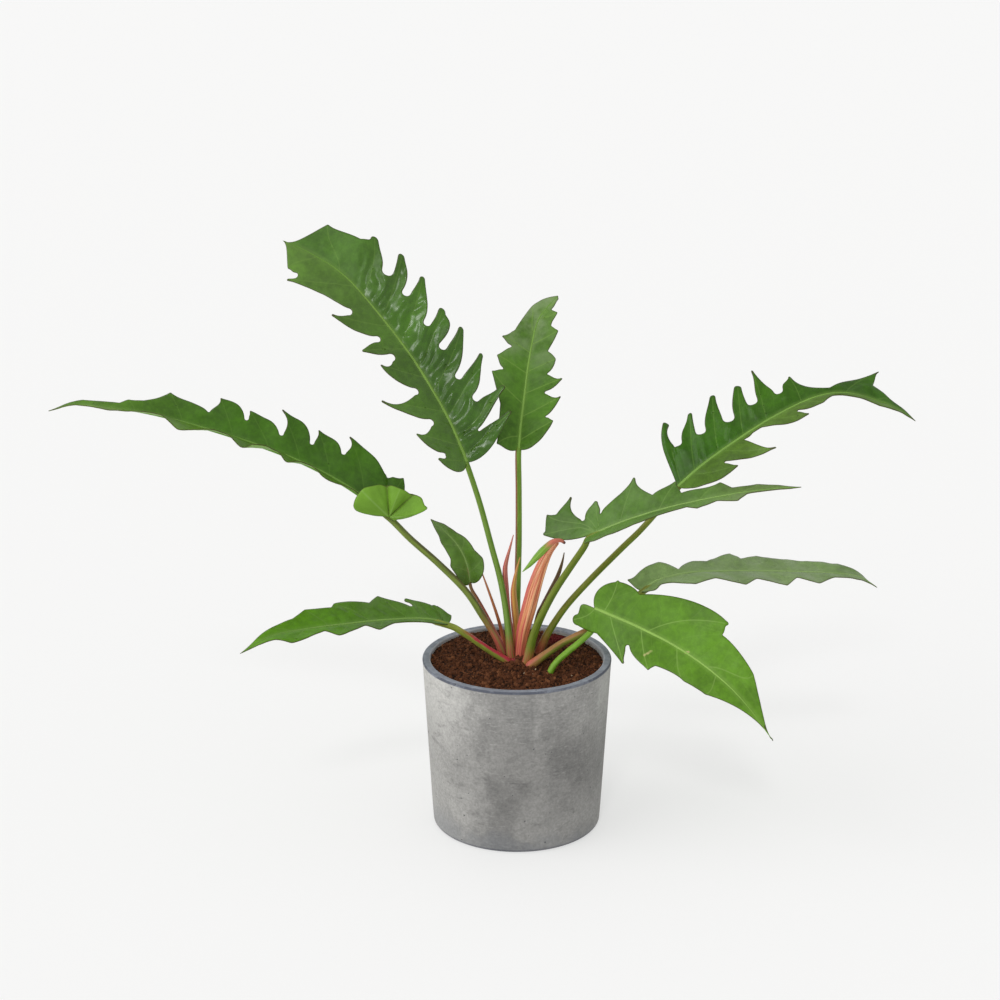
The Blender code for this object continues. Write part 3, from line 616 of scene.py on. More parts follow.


# rib is the midrib from the stalk to the tip, heel where the blade starts along it, and face the way the
# upper face looks, as (share of the length, x, y, z). In each half, fold is how far it rises from flat, as
# (share, degrees), start is where the first lobe sets off to, puff how deep the blade stands out between its
# veins, pleats are (folds to a lobe, their depth), wave and ruffle ripple the half and its edge, and tone
# multiplies its colour, as painted shade where a half is darker and painted sheen where it is paler. A lobe
# is (tip along the rib, tip out from it, notch along, notch out, belly of the edge before the tip, belly of
# the edge after it). widths are the widths of each tip and of the notch after it, or tip and notch where all
# are alike, and hook bends the tips forward. green turns into tipGreen over tipFrom, bloom is a pale film,
# partly a waxy coat and partly painted sheen, that sets in over bloomAndSheenFrom, gloss is the range of the
# roughness and fades over mattFrom, grain is the fine bump, and scars are small marks at (along, out). All
# "From" pairs are shares of the length. stalkRadius is that of the stalk's foot and of its top, and ownHole
# stands the stalk in the soil beside the crown.
leaves = {
    "tallLeft": {
        "rib": [(-50, 62, 361), (-66, 78, 396), (-84, 93, 426), (-108, 109, 461), (-142, 126, 502),
                (-175, 140, 536), (-208, 150, 556), (-238, 156, 569)],
        "face": [(0, 0.42, -0.86, 0.45), (0.6, 0.35, -0.86, 0.45), (1, 0.1, -0.9, 0.45)],
        "right": {
            "fold": [(0, 20), (1, 8)], "start": (-0.1, 0.35), "puff": 1.0, "pleats": (3, 1.0), "wave": 0.05,
            "tone": (0.72, 0.86, 0.55),
            "widths": [(3, 3), (4, 8), (5, 8), (6, 8.5), (8, 8), (6, 9), (7, 12), (14, 5), (10, 0)],
            "lobes": [(32, 60, 26, 22, 0.06), (54, 66, 54, 31, 0.0), (90, 63, 80, 27, 0.07),
                      (120, 60, 113, 29, 0.09), (144, 56, 140, 30, 0.28, -0.03), (180, 60, 176, 32, 0.1),
                      (209, 58, 203, 31, 0.14), (234, 51, 240, 39, -0.04), (272, 35, None, None, 0.0, -0.1)]},
        "left": {
            "fold": [(0, 20), (1, 8)], "start": (-0.4, 0.3), "puff": 0.8, "pleats": (2, 0.3), "wave": 0.04,
            "tip": 2.5, "notch": 9,
            "lobes": [(11, 36, 12, 24, 0.32), (44, 47, 50, 20, 0.26, -0.2), (93, 63, 86, 17, 0.15, -0.2),
                      (131, 38, 131, 17, 0.2, -0.25), (155, 44, 155, 18, 0.12, 0.08),
                      (205, 44, 194, 24, 0.13, -0.1), (280, 38, 270, 29, 0.02), (286, 26, None, None, 0)]},
        "stalk": [(-6, 3, 176), (-8.5, 8, 200), (-12.5, 21, 228), (-18, 32, 253), (-25, 41, 277),
                  (-37, 55, 319)],
        "stalkRadius": (3.7, 3.0), "ribRadius": 2.3, "slot": "leaf_dark", "stalkFinish": "green",
        "green": (0.058, 0.14, 0.009), "vein": (0.14, 0.25, 0.04), "veinShare": 0.14, "gloss": (0.22, 0.3),
        "grain": 0.04, "mattFrom": (0.66, 0.8), "specular": 0.34, "tipGreen": (0.078, 0.17, 0.016),
    },
    "tallBack": {
        "rib": [(2, 88, 367), (4, 104, 387), (8, 124, 414), (13, 146, 447), (21, 164, 480), (31, 170, 495),
                (43, 176, 507)],
        "face": [(0, 0, -0.8, 0.6), (1, 0, -0.8, 0.6)],
        "right": {
            "fold": [(0, 22), (1, 5)], "start": (-0.1, 0.35), "puff": 0.45, "pleats": (2, 0.06),
            "wave": 0.03, "tip": 2, "notch": 4, "hook": 0.4,
            "lobes": [(32, 34.5, 36, 25, 0.16, 0.1), (60, 39, 63, 21, 0.06, -0.15),
                      (80, 38, 84, 21, 0.06, -0.1), (103, 28, 110, 18, 0.14, 0.1), (137, 24, 141, 15, 0.08),
                      (161, 12, 159, 5, 0.06), (173, 3, None, None, -0.05)]},
        "left": {
            "fold": [(0, 22), (1, 5)], "start": (-0.3, 0.5), "puff": 0.45, "pleats": (2, 0.06),
            "wave": 0.03, "tip": 2, "notch": 4,
            "lobes": [(1, 24, 45, 24, 0.08), (80, 37, 84, 25, 0.02), (97, 34, 109, 20, 0.04),
                      (117, 32, 126, 20, 0.06), (149, 13.5, None, None, 0.04, 0.12)]},
        "stalk": [(1, 26, 175), (0, 36, 200), (1, 54, 239), (2, 67, 277), (2, 80, 326)],
        "stalkRadius": (3.7, 3.1), "ribRadius": 1.9, "slot": "leaf_dull", "stalkFinish": "redSided",
        "green": (0.066, 0.165, 0.011), "tipGreen": (0.088, 0.185, 0.024), "tipFrom": (0.5, 0.9),
        "vein": (0.15, 0.27, 0.045), "veinShare": 0.3, "gloss": (0.36, 0.5), "bloomAndSheen": 0.85,
        "bloomAndSheenFrom": (0.3, 0.85),
    },
    "longLeft": {
        "rib": [(-127, 20, 319), (-154, 24, 338), (-186, 30, 357), (-226, 36, 375), (-270, 42, 390),
                (-316, 48, 403), (-360, 52, 414), (-406, 56, 421), (-440, 58, 423), (-468, 60, 416)],
        "face": [(0, 0, -0.2, 1), (1, 0, -0.3, 1)],
        "right": {
            "fold": [(0, 25), (0.5, 25), (1, 10)], "start": (-0.15, 0.4), "puff": 0.7, "pleats": (2, 0.12),
            "wave": 0.05, "tip": 2, "notch": 4.5, "hook": 0.9,
            "lobes": [(10, 43, 27, 34, 0.1), (74, 50, 70, 28, 0.2, -0.18), (102, 43, 101, 22, 0.16, -0.05),
                      (141, 48, 131, 19, 0.22, -0.2), (170, 34, 169, 22, 0.2),
                      (202, 42, 207, 18, 0.18, -0.08), (250, 34, 272, 14, -0.06, -0.12),
                      (287, 14, 294, 7, 0.03), (331, 7, None, None, 0.03)]},
        "left": {
            "fold": [(0, 30), (1, 29)], "start": (-0.15, 0.3), "puff": 0.5, "pleats": (2, 0.1), "wave": 0.2,
            "tip": 5, "notch": 5, "tone": (1.7, 1.4, 2.0),
            "lobes": [(26, 12, 42, 9, 0.1), (78, 17, 92, 12, 0.1), (110, 26, 128, 13, 0.1),
                      (150, 36, 182, 14, 0.1), (226, 34, 252, 16, 0.1), (290, 14, None, None, 0.1)]},
        "stalk": [(-13, 10, 174), (-21, 11, 193), (-35, 15, 215), (-52, 17, 241), (-79, 19, 269),
                  (-106, 20, 294)],
        "fan": True, "stalkRadius": (4.1, 3.6), "ribRadius": 2.2, "slot": "leaf_dark",
        "stalkFinish": "purpleTopped", "green": (0.045, 0.13, 0.0045), "tipGreen": (0.08, 0.19, 0.012),
        "tipFrom": (0.5, 0.9), "vein": (0.12, 0.24, 0.035), "veinShare": 0.12, "gloss": (0.28, 0.4),
        "fanGreen": (0.14, 0.29, 0.025),
    },
    "highRight": {
        "rib": [(161, 48, 340), (187, 54, 362), (227, 66, 388), (262, 74, 408), (300, 82, 424),
                (331, 88, 427), (363, 94, 418), (389, 98, 406), (406, 100, 394)],
        "face": [(0, 0, -0.35, 1), (1, 0, -0.35, 1)],
        "right": {
            "fold": [(0, 5), (1, 5)], "start": (0.1, 0.35), "puff": 0.7, "pleats": (2, 0.15), "wave": 0.05,
            "tone": (1.5, 1.12, 3.0), "tip": 1.6, "notch": 3.5, "hook": 0.3,
            "lobes": [(58, 34, 51, 17, 0.16), (101, 46, 82, 6, 0.03, -0.08), (93, 4, 104, 4, 0.0),
                      (151, 23, 143, 10, 0.2), (172, 12, 184, 5, 0.1), (236, 9, None, None, 0)]},
        "left": {
            "fold": [(0, 25), (1, 15)], "start": (0.15, 0.35), "puff": 0.8, "pleats": (2, 0.6),
            "wave": 0.05, "tone": (0.6, 0.75, 0.32),
            "widths": [(4, 9), (5, 11), (5.5, 12), (6.5, 11), (2, 12), (12, 4), (1, 1), (2, 0)],
            "lobes": [(33, 60, 27, 31, 0.14, -0.14), (57, 54, 52, 26, 0.05), (85, 58, 82, 20, 0.05),
                      (109, 52, 111, 22, 0.06), (127, 56, 138, 19, 0.0), (154, 33, 185, 7, 0.06, -0.2),
                      (237, 38, 230, 17, -0.04), (256, 7, None, None, -0.12)]},
        "stalk": [(22, 19, 173), (27, 16, 186), (32, 15, 197), (49, 20, 222), (74, 29, 248), (105, 37, 278),
                  (127, 42, 299)],
        "stalkRadius": (3.9, 3.1), "ribRadius": 2.0, "slot": "leaf_dark", "stalkFinish": "olive",
        "green": (0.046, 0.132, 0.0035), "tipGreen": (0.056, 0.145, 0.006), "tipFrom": (0.15, 0.45),
        "vein": (0.14, 0.26, 0.045), "veinShare": 0.14, "gloss": (0.26, 0.38),
    },
    "middleRight": {
        "rib": [(74, -14, 311), (105, -24, 328), (143, -34, 344), (181, -42, 356), (214, -50, 365),
                (244, -56, 371), (271, -60, 374)],
        "face": [(0, 0, -0.3, 1), (1, 0, -0.3, 1)],
        "right": {
            "fold": [(0, 14), (0.3, 12), (1, 14)], "start": (-0.5, 0.2), "puff": 0.5, "pleats": (2, 0.15),
            "wave": 0.0, "tip": 3, "notch": 5,
            "lobes": [(-4, 21, 8, 24, 0.1), (28, 24, 70, 14, 0.02), (84, 12, 102, 9, 0.0),
                      (114, 20, 133, 10, 0.1), (155, 19, 162, 5, 0.1), (187, 3.5, None, None, 0.06)]},
        "left": {
            "fold": [(0, 30), (1, 15)], "start": (-0.5, 0.02), "puff": 0.8, "pleats": (2, 0.3), "wave": 0.0,
            "tone": (0.74, 0.76, 0.72),
            "widths": [(6, 3), (4, 6), (4, 6), (5, 3), (7, 9), (4, 6), (3, 5), (2, 0)],
            "lobes": [(-54, 22, -50, 28, 0.1), (-46, 41, -36, 37, 0.1), (-17, 50, -8, 18, 0.1, -0.22),
                      (10, 34, 12, 18, 0.15, 0.1), (52, 45, 68, 19, -0.1, -0.1), (93, 28, 97, 13, 0.02),
                      (135, 17, 147, 8, -0.1), (171, 8, None, None, 0.02)]},
        "stalk": [(10, -9, 172), (16, -7, 200), (25.5, -7, 225), (38, -7, 250), (52, -10, 274),
                  (65.5, -12, 296)],
        "stalkRadius": (4.5, 3.3), "ribRadius": 1.8, "slot": "leaf_dull", "stalkFinish": "warmGreen",
        "green": (0.085, 0.185, 0.023), "tipGreen": (0.135, 0.21, 0.055), "tipFrom": (0.5, 0.85),
        "vein": (0.17, 0.28, 0.07), "veinShare": 0.16, "gloss": (0.3, 0.42), "bloomAndSheen": 0.15,
    },
    "lowRight": {
        "rib": [(124, 8, 244), (143, 13, 254), (174, 20, 259), (209, 27, 258), (245, 33, 256),
                (286, 39, 253), (323, 43, 250), (348, 46, 245), (367, 48, 233)],
        "face": [(0, 0, -0.1, 1), (1, 0, -0.1, 1)],
        "right": {
            "fold": [(0, 0), (1, 0)], "start": (-0.2, 0.3), "puff": 0.5, "pleats": (2, 0.1), "wave": 0.05,
            "tip": 2, "notch": 6,
            "lobes": [(10, 13, 20, 10, 0.1), (53, 24, 76, 17, 0.05), (105, 29, 119, 20, 0.05),
                      (148, 30, 162, 15, 0.05), (184, 23, 203, 10, 0.05), (227, 7, None, None, 0.05)]},
        "left": {
            "fold": [(0, 22), (0.12, 24), (0.2, 14), (1, 4)], "start": (-0.2, 0.3), "puff": 0.8,
            "pleats": (2, 0.3), "wave": 0.0, "ruffle": 2.2,
            "widths": [(2, 2), (10, 2), (12, 5), (12, 2), (10, 4), (10, 6), (10, 5), (2, 0)],
            "lobes": [(-5, 20, 14, 20, 0.1), (28, 22, 43.8, 6, 0.16, 0.1), (62, 18, 75, 16, 0.2),
                      (103, 30, 111, 20, 0.1, 0.1), (129, 26.5, 144, 21.5, 0.08),
                      (160, 23.5, 175, 20.5, 0.05), (212, 21, None, None, 0.04)]},
        "stalk": [(15, -16, 174), (30, -11, 184), (45, -4, 192), (60, -1, 199), (78, 3, 207), (94, 8, 217),
                  (108, 9, 229)],
        "stalkRadius": (4.2, 3.6), "ribRadius": 1.8, "slot": "leaf_dull", "stalkFinish": "pinkTopped",
        "green": (0.175, 0.275, 0.085), "tipGreen": (0.13, 0.235, 0.045), "tipFrom": (0.6, 0.9),
        "vein": (0.2, 0.3, 0.1), "veinShare": 0.12, "gloss": (0.24, 0.36), "specular": 0.3, "bloomAndSheen": 0.9,
        "bloomAndSheenFrom": (0.05, 0.3),
    },
    "frontRight": {
        "rib": [(86, -16, 230), (121, -36, 221), (161, -58, 206), (197, -76, 184), (224, -88, 159),
                (249, -96, 126)],
        "face": [(0, 0.1, -0.95, 0.4), (1, 0.2, -0.75, 0.6)],
        "right": {
            "fold": [(0, -20), (0.3, 8), (1, 5)], "start": (-0.75, -0.05), "puff": 0.4, "pleats": (2, 0.05),
            "wave": 0.02, "widths": [(12, 2), (2.5, 5), (3, 8), (3, 3), (3, 0)],
            "lobes": [(-29, 20, 0, 23, 0.3, 0.1), (44, 39.5, 37, 21, 0.05), (72.5, 35.5, 76, 28, 0.04),
                      (110, 26, 122, 24.5, -0.08), (135, 23.5, None, None, 0.0, -0.06)]},
        "left": {
            "fold": [(0, 12), (1, 5)], "start": (-0.25, 0.35), "puff": 0.4, "pleats": (2, 0.05),
            "wave": 0.02, "widths": [(18, 2), (8, 6), (6, 0)],
            "lobes": [(2, 34.5, 28, 29.5, 0.34, 0.16), (111, 47, 112, 34.5, 0.16, 0.1),
                      (156, 26, None, None, 0.14, -0.05)]},
        "stalk": [(32, -31, 156), (32, -31, 166), (34, -30, 174), (40, -27, 182), (51, -23, 191),
                  (62, -19, 199), (72, -13, 206), (79, -7, 213), (85, -4, 220)],
        "heel": -11, "stalkRadius": (3.6, 3.2), "ribRadius": 1.7, "slot": "leaf_bright",
        "stalkFinish": "bright", "green": (0.081, 0.195, 0.0088), "tipGreen": (0.1, 0.235, 0.0135),
        "vein": (0.22, 0.37, 0.075), "veinShare": 0.24, "gloss": (0.4, 0.52), "ownHole": True,
        "scars": [(64, 17), (62, 20), (60, 23), (94, 0), (96, -1.5)],
    },
    "lowLeft": {
        "rib": [(-68, -16, 218), (-91, -24, 226), (-130, -38, 230), (-169, -52, 231), (-207, -66, 231),
                (-240, -78, 228), (-268, -88, 214)],
        "face": [(0, 0, -0.3, 1), (1, 0, -0.3, 1)],
        "right": {
            "fold": [(0, 10), (1, 10)], "start": (-0.3, 0.4), "puff": 0.8, "pleats": (2, 0.4), "wave": 0.02,
            "widths": [(4, 2), (4, 2), (5, 3.5), (14, 5), (3, 4), (8, 4), (3, 0)], "hook": 0.3,
            "ruffle": 1.2,
            "lobes": [(-5, 12, 6, 18, 0.12), (12, 21.5, 18, 20.5, 0.08), (41, 26.5, 35, 17, 0.1, -0.1),
                      (66.5, 34, 77, 24.5, -0.04, 0.04), (112, 29, 116, 23.5, 0.16),
                      (142, 26, 157, 16, 0.05), (176, 11, None, None, 0.02)]},
        "left": {
            "fold": [(0, 10), (1, 10)], "start": (0.1, 0.3), "puff": 0.6, "pleats": (2, 0.15), "wave": 0.06,
            "tip": 2, "notch": 5,
            "lobes": [(33, 7, 60, 8, 0.1), (78, 18, 90, 8, 0.1), (120, 20, 132, 10, 0.1),
                      (168, 21, 182, 9, 0.1), (198, 4, None, None, 0)]},
        "stalk": [(-11, -3, 173), (-30, -6, 187), (-47, -10, 201), (-57, -13, 209)],
        "stalkRadius": (4.1, 3.5), "ribRadius": 1.8, "slot": "leaf_dark", "stalkFinish": "crimsonTopped",
        "green": (0.056, 0.135, 0.009), "vein": (0.14, 0.25, 0.05), "veinShare": 0.16,
        "gloss": (0.22, 0.36), "specular": 0.2, "bloomAndSheen": 0.15, "tipGreen": (0.082, 0.225, 0.002),
        "tipFrom": (0.32, 0.6), "bloomAndSheenFrom": (0.7, 0.4),
    },
    "smallLeft": {
        "rib": [(-47, 34, 243), (-51, 36, 264), (-60, 38, 282), (-72, 40, 295), (-87, 42, 308)],
        "face": [(0, 0.2, -0.9, 0.3), (1, -0.3, -0.9, 0.5)],
        "right": {
            "fold": [(0, 30), (1, 30)], "start": (-0.2, 0.3), "puff": 0.4, "pleats": (2, 0.15),
            "wave": 0.05, "tip": 8, "notch": 3,
            "lobes": [(22, 19, 30, 14, 0.26), (46, 11, 52, 8, 0.1), (66, 6, None, None, 0.1)]},
        "left": {
            "fold": [(0, 30), (1, 30)], "start": (-0.25, 0.3), "puff": 0.4, "pleats": (2, 0.15),
            "wave": 0.05, "tip": 1, "notch": 1,
            "lobes": [(26, 19, 34, 15, 0.2), (56, 12, 62, 8, 0.08), (72, 4, None, None, 0.08)]},
        "stalk": [(-14, 19, 176), (-23, 24, 196), (-33, 30, 214), (-40, 33, 226)],
        "stalkRadius": (2.2, 1.8), "ribRadius": 1.0, "slot": "leaf_dark", "stalkFinish": "crimsonBased",
        "green": (0.085, 0.18, 0.02), "vein": (0.17, 0.27, 0.07), "veinShare": 0.15, "gloss": (0.24, 0.36),
        "specular": 0.3, "bloomAndSheen": 0.3, "bloomAndSheenFrom": (0.4, 0.9),
    },
}
leafBuild = {
    "edgeStep": 1.2, "ribStep": 2.2, "veinStep": 2.0, "grid": 2.0, "thickness": 0.85, "sweep": 0.5,
    "soft": 0.75, "ruffle": 0.7, "ruffleLength": 13.0, "ruffleReach": 9.0, "swayLength": 22.0,
    "veinReach": 3.0, "edgeReach": 5.0, "pleatStart": 2.5, "pleatEnd": 40.0, "midribStep": 3.0,
    # the least bend that counts as a tip or notch, and how far the edge runs straight on from each
    "bend": 0.35, "pull": 0.3, "longestPull": 34,
    "edgeBrownAndCreaseShade": (0.05, 0.035, 0.012), "scarTan": (0.42, 0.4, 0.16), "filmPaleAndSheen": (0.19, 0.27, 0.12),
    # the underside is a share of the leaf's green and something added
    "underShare": (1.5, 1.45, 1.5), "underAdded": (0.03, 0.05, 0.008), "underVein": (0.22, 0.36, 0.1),
}


def nodeName(leafName):
    # tallLeft is tall_left among the nodes
    return "".join("_" + letter.lower() if letter.isupper() else letter for letter in leafName)


def notchesOf(form, side):
    lobes = form["spec"][side]["lobes"]
    inner = [(lobe[2], lobe[3]) for lobe in lobes[:-1]]
    return np.array([(form["heel"], 0.0)] + inner + [(form["length"], 0.0)], float)


def lobeFeet(form, side):
    # where each notch's line reaches the midrib, in order along it
    feet = [form["heel"]]
    for along, out in notchesOf(form, side)[1:-1]:
        feet.append(min(max(along - leafBuild["sweep"] * out, feet[-1] + 2), form["length"] - 4))
    return feet + [form["length"]]


def leafForm(spec):
    rib, run = smoothRoute(spec["rib"], 160)
    form = {"spec": spec, "rib": rib, "run": run, "length": run[-1], "heel": spec.get("heel", 0.0),
            "tangent": unitRows(np.gradient(rib, run, axis=0))}
    form["feet"] = {side: lobeFeet(form, side) for side in ("right", "left")}
    return form


def ribFrame(form, along):
    inside = np.clip(along, 0.0, form["length"])
    middle = sampled(inside, form["run"], form["rib"])
    tangent = unitRows(sampled(inside, form["run"], form["tangent"]))
    face = keyed(form["spec"]["face"], inside / form["length"])
    normal = unitRows(face - (face * tangent).sum(-1, keepdims=True) * tangent)
    return middle + (along - inside)[..., None] * tangent, normal, np.cross(tangent, normal)


def lobeCount(form, side, along, width):
    # which lobe a spot belongs to, as a number that grows by one from notch to notch
    feet = form["feet"][side]
    return np.interp(along - leafBuild["sweep"] * width, feet, np.arange(len(feet)))


def leafPoints(form, along, across, lift=0.0):
    # along the midrib and across it in millimetres, across positive on the right half
    along, across = np.broadcast_arrays(np.asarray(along, float), np.asarray(across, float))
    middle, normal, sideways = ribFrame(form, along)
    share = np.clip(along / form["length"], 0, 1)
    width = np.abs(across)
    out, up = np.zeros(along.shape), np.zeros(along.shape)
    for side, chosen in (("right", across >= 0), ("left", across < 0)):
        half, wide = form["spec"][side], width[chosen]
        fold = np.radians(keyed(half["fold"], share[chosen])[..., 0])
        out[chosen] = wide * np.cos(fold)
        up[chosen] = wide * np.sin(fold)
        up[chosen] += half["wave"] * wide * np.cos(2 * math.pi * lobeCount(form, side, along[chosen], wide))
    return middle + (np.sign(across) * out)[..., None] * sideways + (up + lift)[..., None] * normal


def roundEnd(point, direction, width):
    # a half circle that touches the point, opening backwards along the direction
    onward = np.array([direction[1], -direction[0]])
    radius = width / 2
    first = point - direction * radius - onward * radius
    last = point - direction * radius + onward * radius
    bow = direction * radius * 4 / 3
    return first, first + bow, last + bow, last


def blended(first, second, share):
    return unit(share * np.asarray(first) + (1 - share) * np.asarray(second))


def turnBack(first, second):
    # 1 where the edge turns sharply back from one way into the other, 0 where it hardly bends
    return float(np.clip(leafBuild["bend"] + np.dot(unit(first), unit(second)), 0, 1))


def lobeEdges(form, side, count=14):
    # each lobe as its near edge, round tip, far edge and the round notch after it, as (along, out). Fingers
    # end round, and the shallower a lobe or notch is, the more it is just a bend in the edge
    half, notches = form["spec"][side], notchesOf(form, side)
    lobes = half["lobes"]
    tips = [np.array(lobe[:2], float) for lobe in lobes]
    widths = half.get("widths") or [(half["tip"], half["notch"])] * len(lobes)
    pull, pieces = leafBuild["pull"], []
    for k, lobe in enumerate(lobes):
        start, end, tip = notches[k], notches[k + 1], tips[k]
        near = tip - start
        size = np.linalg.norm(near)
        axis = unit(tip - (start + end) / 2)
        pointed = turnBack(start - tip, end - tip)
        tipCurve = roundEnd(tip, axis, pointed * min(widths[k][0], 0.5 * size))
        swell = np.array([-near[1], near[0]]) * lobe[4]
        lean = blended(axis + np.array([half.get("hook", 0.0), 0.0]), unit(near), max(pointed, 0.3))
        if k == 0:
            first = start + np.array(half["start"]) * size
            leave = start
        else:
            before = pieces[-1]
            leave = before["notch"][3]
            away = blended(before["opening"], unit(near), before["depth"])
            first = leave + pull * min(size, leafBuild["longestPull"]) * away + pull * swell
        second = tipCurve[0] - pull * size * lean + swell
        nearEdge = bezier(leave, first, second, tipCurve[0], count)
        back = blended(-axis, unit(end - tip), pointed)
        beyond = end - tip
        fullness = np.array([-beyond[1], beyond[0]]) * (lobe[5] if len(lobe) > 5 else 0.0)
        if k == len(lobes) - 1:
            notch, opening, depth = None, None, 0.0
            far = end - tipCurve[3]
            second = end - np.array([0.2, -0.02]) * np.linalg.norm(far) + fullness
            farEdge = bezier(tipCurve[3], tipCurve[3] + 0.35 * far + fullness, second, end, count)
        else:
            toTip, toNext = tip - end, tips[k + 1] - end
            opening = unit(0.6 * unit(toTip) + 0.4 * unit(toNext))
            depth = turnBack(toTip, toNext)
            reach = min(np.linalg.norm(toTip), np.linalg.norm(toNext))
            notch = roundEnd(end, -opening, depth * min(widths[k][1], 0.6 * reach))[::-1]
            gap = np.linalg.norm(notch[0] - tipCurve[3])
            into = blended(opening, unit(toTip), depth)
            farEdge = bezier(tipCurve[3], tipCurve[3] + pull * gap * back + fullness,
                             notch[0] + pull * gap * into + fullness, notch[0], count)
        pieces.append({"near": nearEdge, "tip": bezier(*tipCurve, 8), "far": farEdge, "notch": notch,
                       "opening": opening, "depth": depth})
    return pieces


def sideOutline(form, side):
    # heel to tip as (along, out), a little softened and evenly spaced
    pieces, notches = lobeEdges(form, side), notchesOf(form, side)
    rows = []
    for piece in pieces:
        rows += [piece["near"], piece["tip"], piece["far"]]
        if piece["notch"]:
            rows.append(bezier(*piece["notch"], 8))
    dense = np.vstack(rows + [notches[-1:]])
    soft, step = leafBuild["soft"], 0.3
    even = evenLine(dense, step)
    reach = int(3 * soft / step) + 1
    weights = np.exp(-0.5 * (np.arange(-reach, reach + 1) * step / soft) ** 2)
    weights /= weights.sum()
    before, after = 2 * even[0] - even[reach:0:-1], 2 * even[-1] - even[-2:-reach - 2:-1]
    padded = np.vstack([before, even, after])
    softened = np.stack([np.convolve(padded[:, k], weights, "valid") for k in range(2)], 1)
    softened[:, 1] = np.maximum(softened[:, 1], 0.02)
    softened = evenLine(softened, leafBuild["edgeStep"])
    softened[0], softened[-1] = notches[0], notches[-1]
    return softened


def insideOutline(outline, points):
    a, b = outline, np.roll(outline, -1, axis=0)
    x, y = points[:, :1], points[:, 1:]
    rises = (a[:, 1] > y) != (b[:, 1] > y)
    with np.errstate(divide="ignore", invalid="ignore"):
        crossing = a[:, 0] + (y - a[:, 1]) / (b[:, 1] - a[:, 1]) * (b[:, 0] - a[:, 0])
    return np.count_nonzero(rises & (x < crossing), axis=1) % 2 == 1


def gapTo(lines, points):
    # how far each point is from the nearest of the lines
    if not lines:
        return np.full(len(points), 99.0)
    starts = np.vstack([line[:-1] for line in lines])
    run = np.vstack([line[1:] for line in lines]) - starts
    size = np.maximum((run ** 2).sum(1), 1e-9)
    gaps = np.empty(len(points))
    for first in range(0, len(points), 1200):
        some = points[first:first + 1200, None]
        share = np.clip(((some - starts) * run).sum(2) / size, 0, 1)
        gaps[first:first + 1200] = np.sqrt((((some - starts) - share[..., None] * run) ** 2).sum(2).min(1))
    return gaps


def trimmed(line, outline, margin):
    # the line up to where it comes too near the outline
    good = insideOutline(outline, line) & (gapTo([np.vstack([outline, outline[:1]])], line) > margin)
    good[:2] = True
    last = np.argmin(good) if not good.all() else len(line)
    return line[:last]


def lobeVeins(form, side):
    # one main vein to each lobe's tip, and finer ones between
    half, notches, feet = form["spec"][side], notchesOf(form, side), form["feet"][side]
    mains, fines = [], []

    def addFine(begin, onward, target, pull):
        gap = np.linalg.norm(target - begin)
        arriving = target - 0.3 * (target - begin)
        fines.append(bezier(begin, begin + pull * gap * onward, arriving, target, 16, True))

    for k, piece in enumerate(lobeEdges(form, side, 20)):
        start, end, tip = notches[k], notches[k + 1], np.array(half["lobes"][k][:2], float)
        share = 0.45 if k < len(half["lobes"]) - 1 else 0.2
        foot = np.array([feet[k] + share * (feet[k + 1] - feet[k]), 0.0])
        reach = np.linalg.norm(tip - foot)
        lean = unit(unit(tip - foot) + np.array([0.3, 0.8]))
        finish = unit(unit(tip - (start + end) / 2) + 0.6 * unit(tip - foot))
        main = bezier(foot, foot + 0.35 * reach * lean, tip - 0.35 * reach * finish, tip, 24, True)
        mains.append(main)
        near, far = piece["near"], piece["far"]
        for branch, target in ((2, near[6]), (6, near[11]), (11, near[15]), (16, near[18]), (3, far[15]),
                               (7, far[10]), (12, far[6]), (16, far[3])):
            addFine(main[branch], unit(main[branch + 1] - main[branch]), target, 0.45)
        for portion, target in ((0.1, near[2]), (0.8, far[18])):
            begin = np.array([feet[k] + portion * (feet[k + 1] - feet[k]), 0.0])
            if np.linalg.norm(target - begin) > 6:
                addFine(begin, unit([0.35, 0.9]), target, 0.35)
    return mains, fines


def gridInside(outline, closed, veins):
    # staggered points over the blade, clear of its edge, veins and midrib
    grid = leafBuild["grid"]
    low, high = outline.min(0), outline.max(0)
    rows = []
    for i, across in enumerate(np.arange(low[1], high[1], grid * 0.87)):
        along = np.arange(low[0] + (i % 2) * grid / 2, high[0], grid)
        rows.append(np.stack([along, 0 * along + across], 1))
    inner = np.vstack(rows)
    inner = inner[insideOutline(outline, inner)]
    keep = (gapTo([closed], inner) > 0.9) & (gapTo(veins, inner) > 0.8) & (np.abs(inner[:, 1]) > 0.9)
    return list(inner[keep])


def triangulated(points, edges, outline):
    flat, _, faces, _, _, _ = delaunay_2d_cdt([Vector(p) for p in points], edges, [], 0, 1e-4)
    flat = np.array([p[:] for p in flat])
    faces = np.array([face for face in faces if len(face) == 3])
    faces = faces[insideOutline(outline, flat[faces].mean(1))]
    used = np.unique(faces)
    index = np.full(len(flat), -1)
    index[used] = np.arange(len(used))
    return flat[used], index[faces]


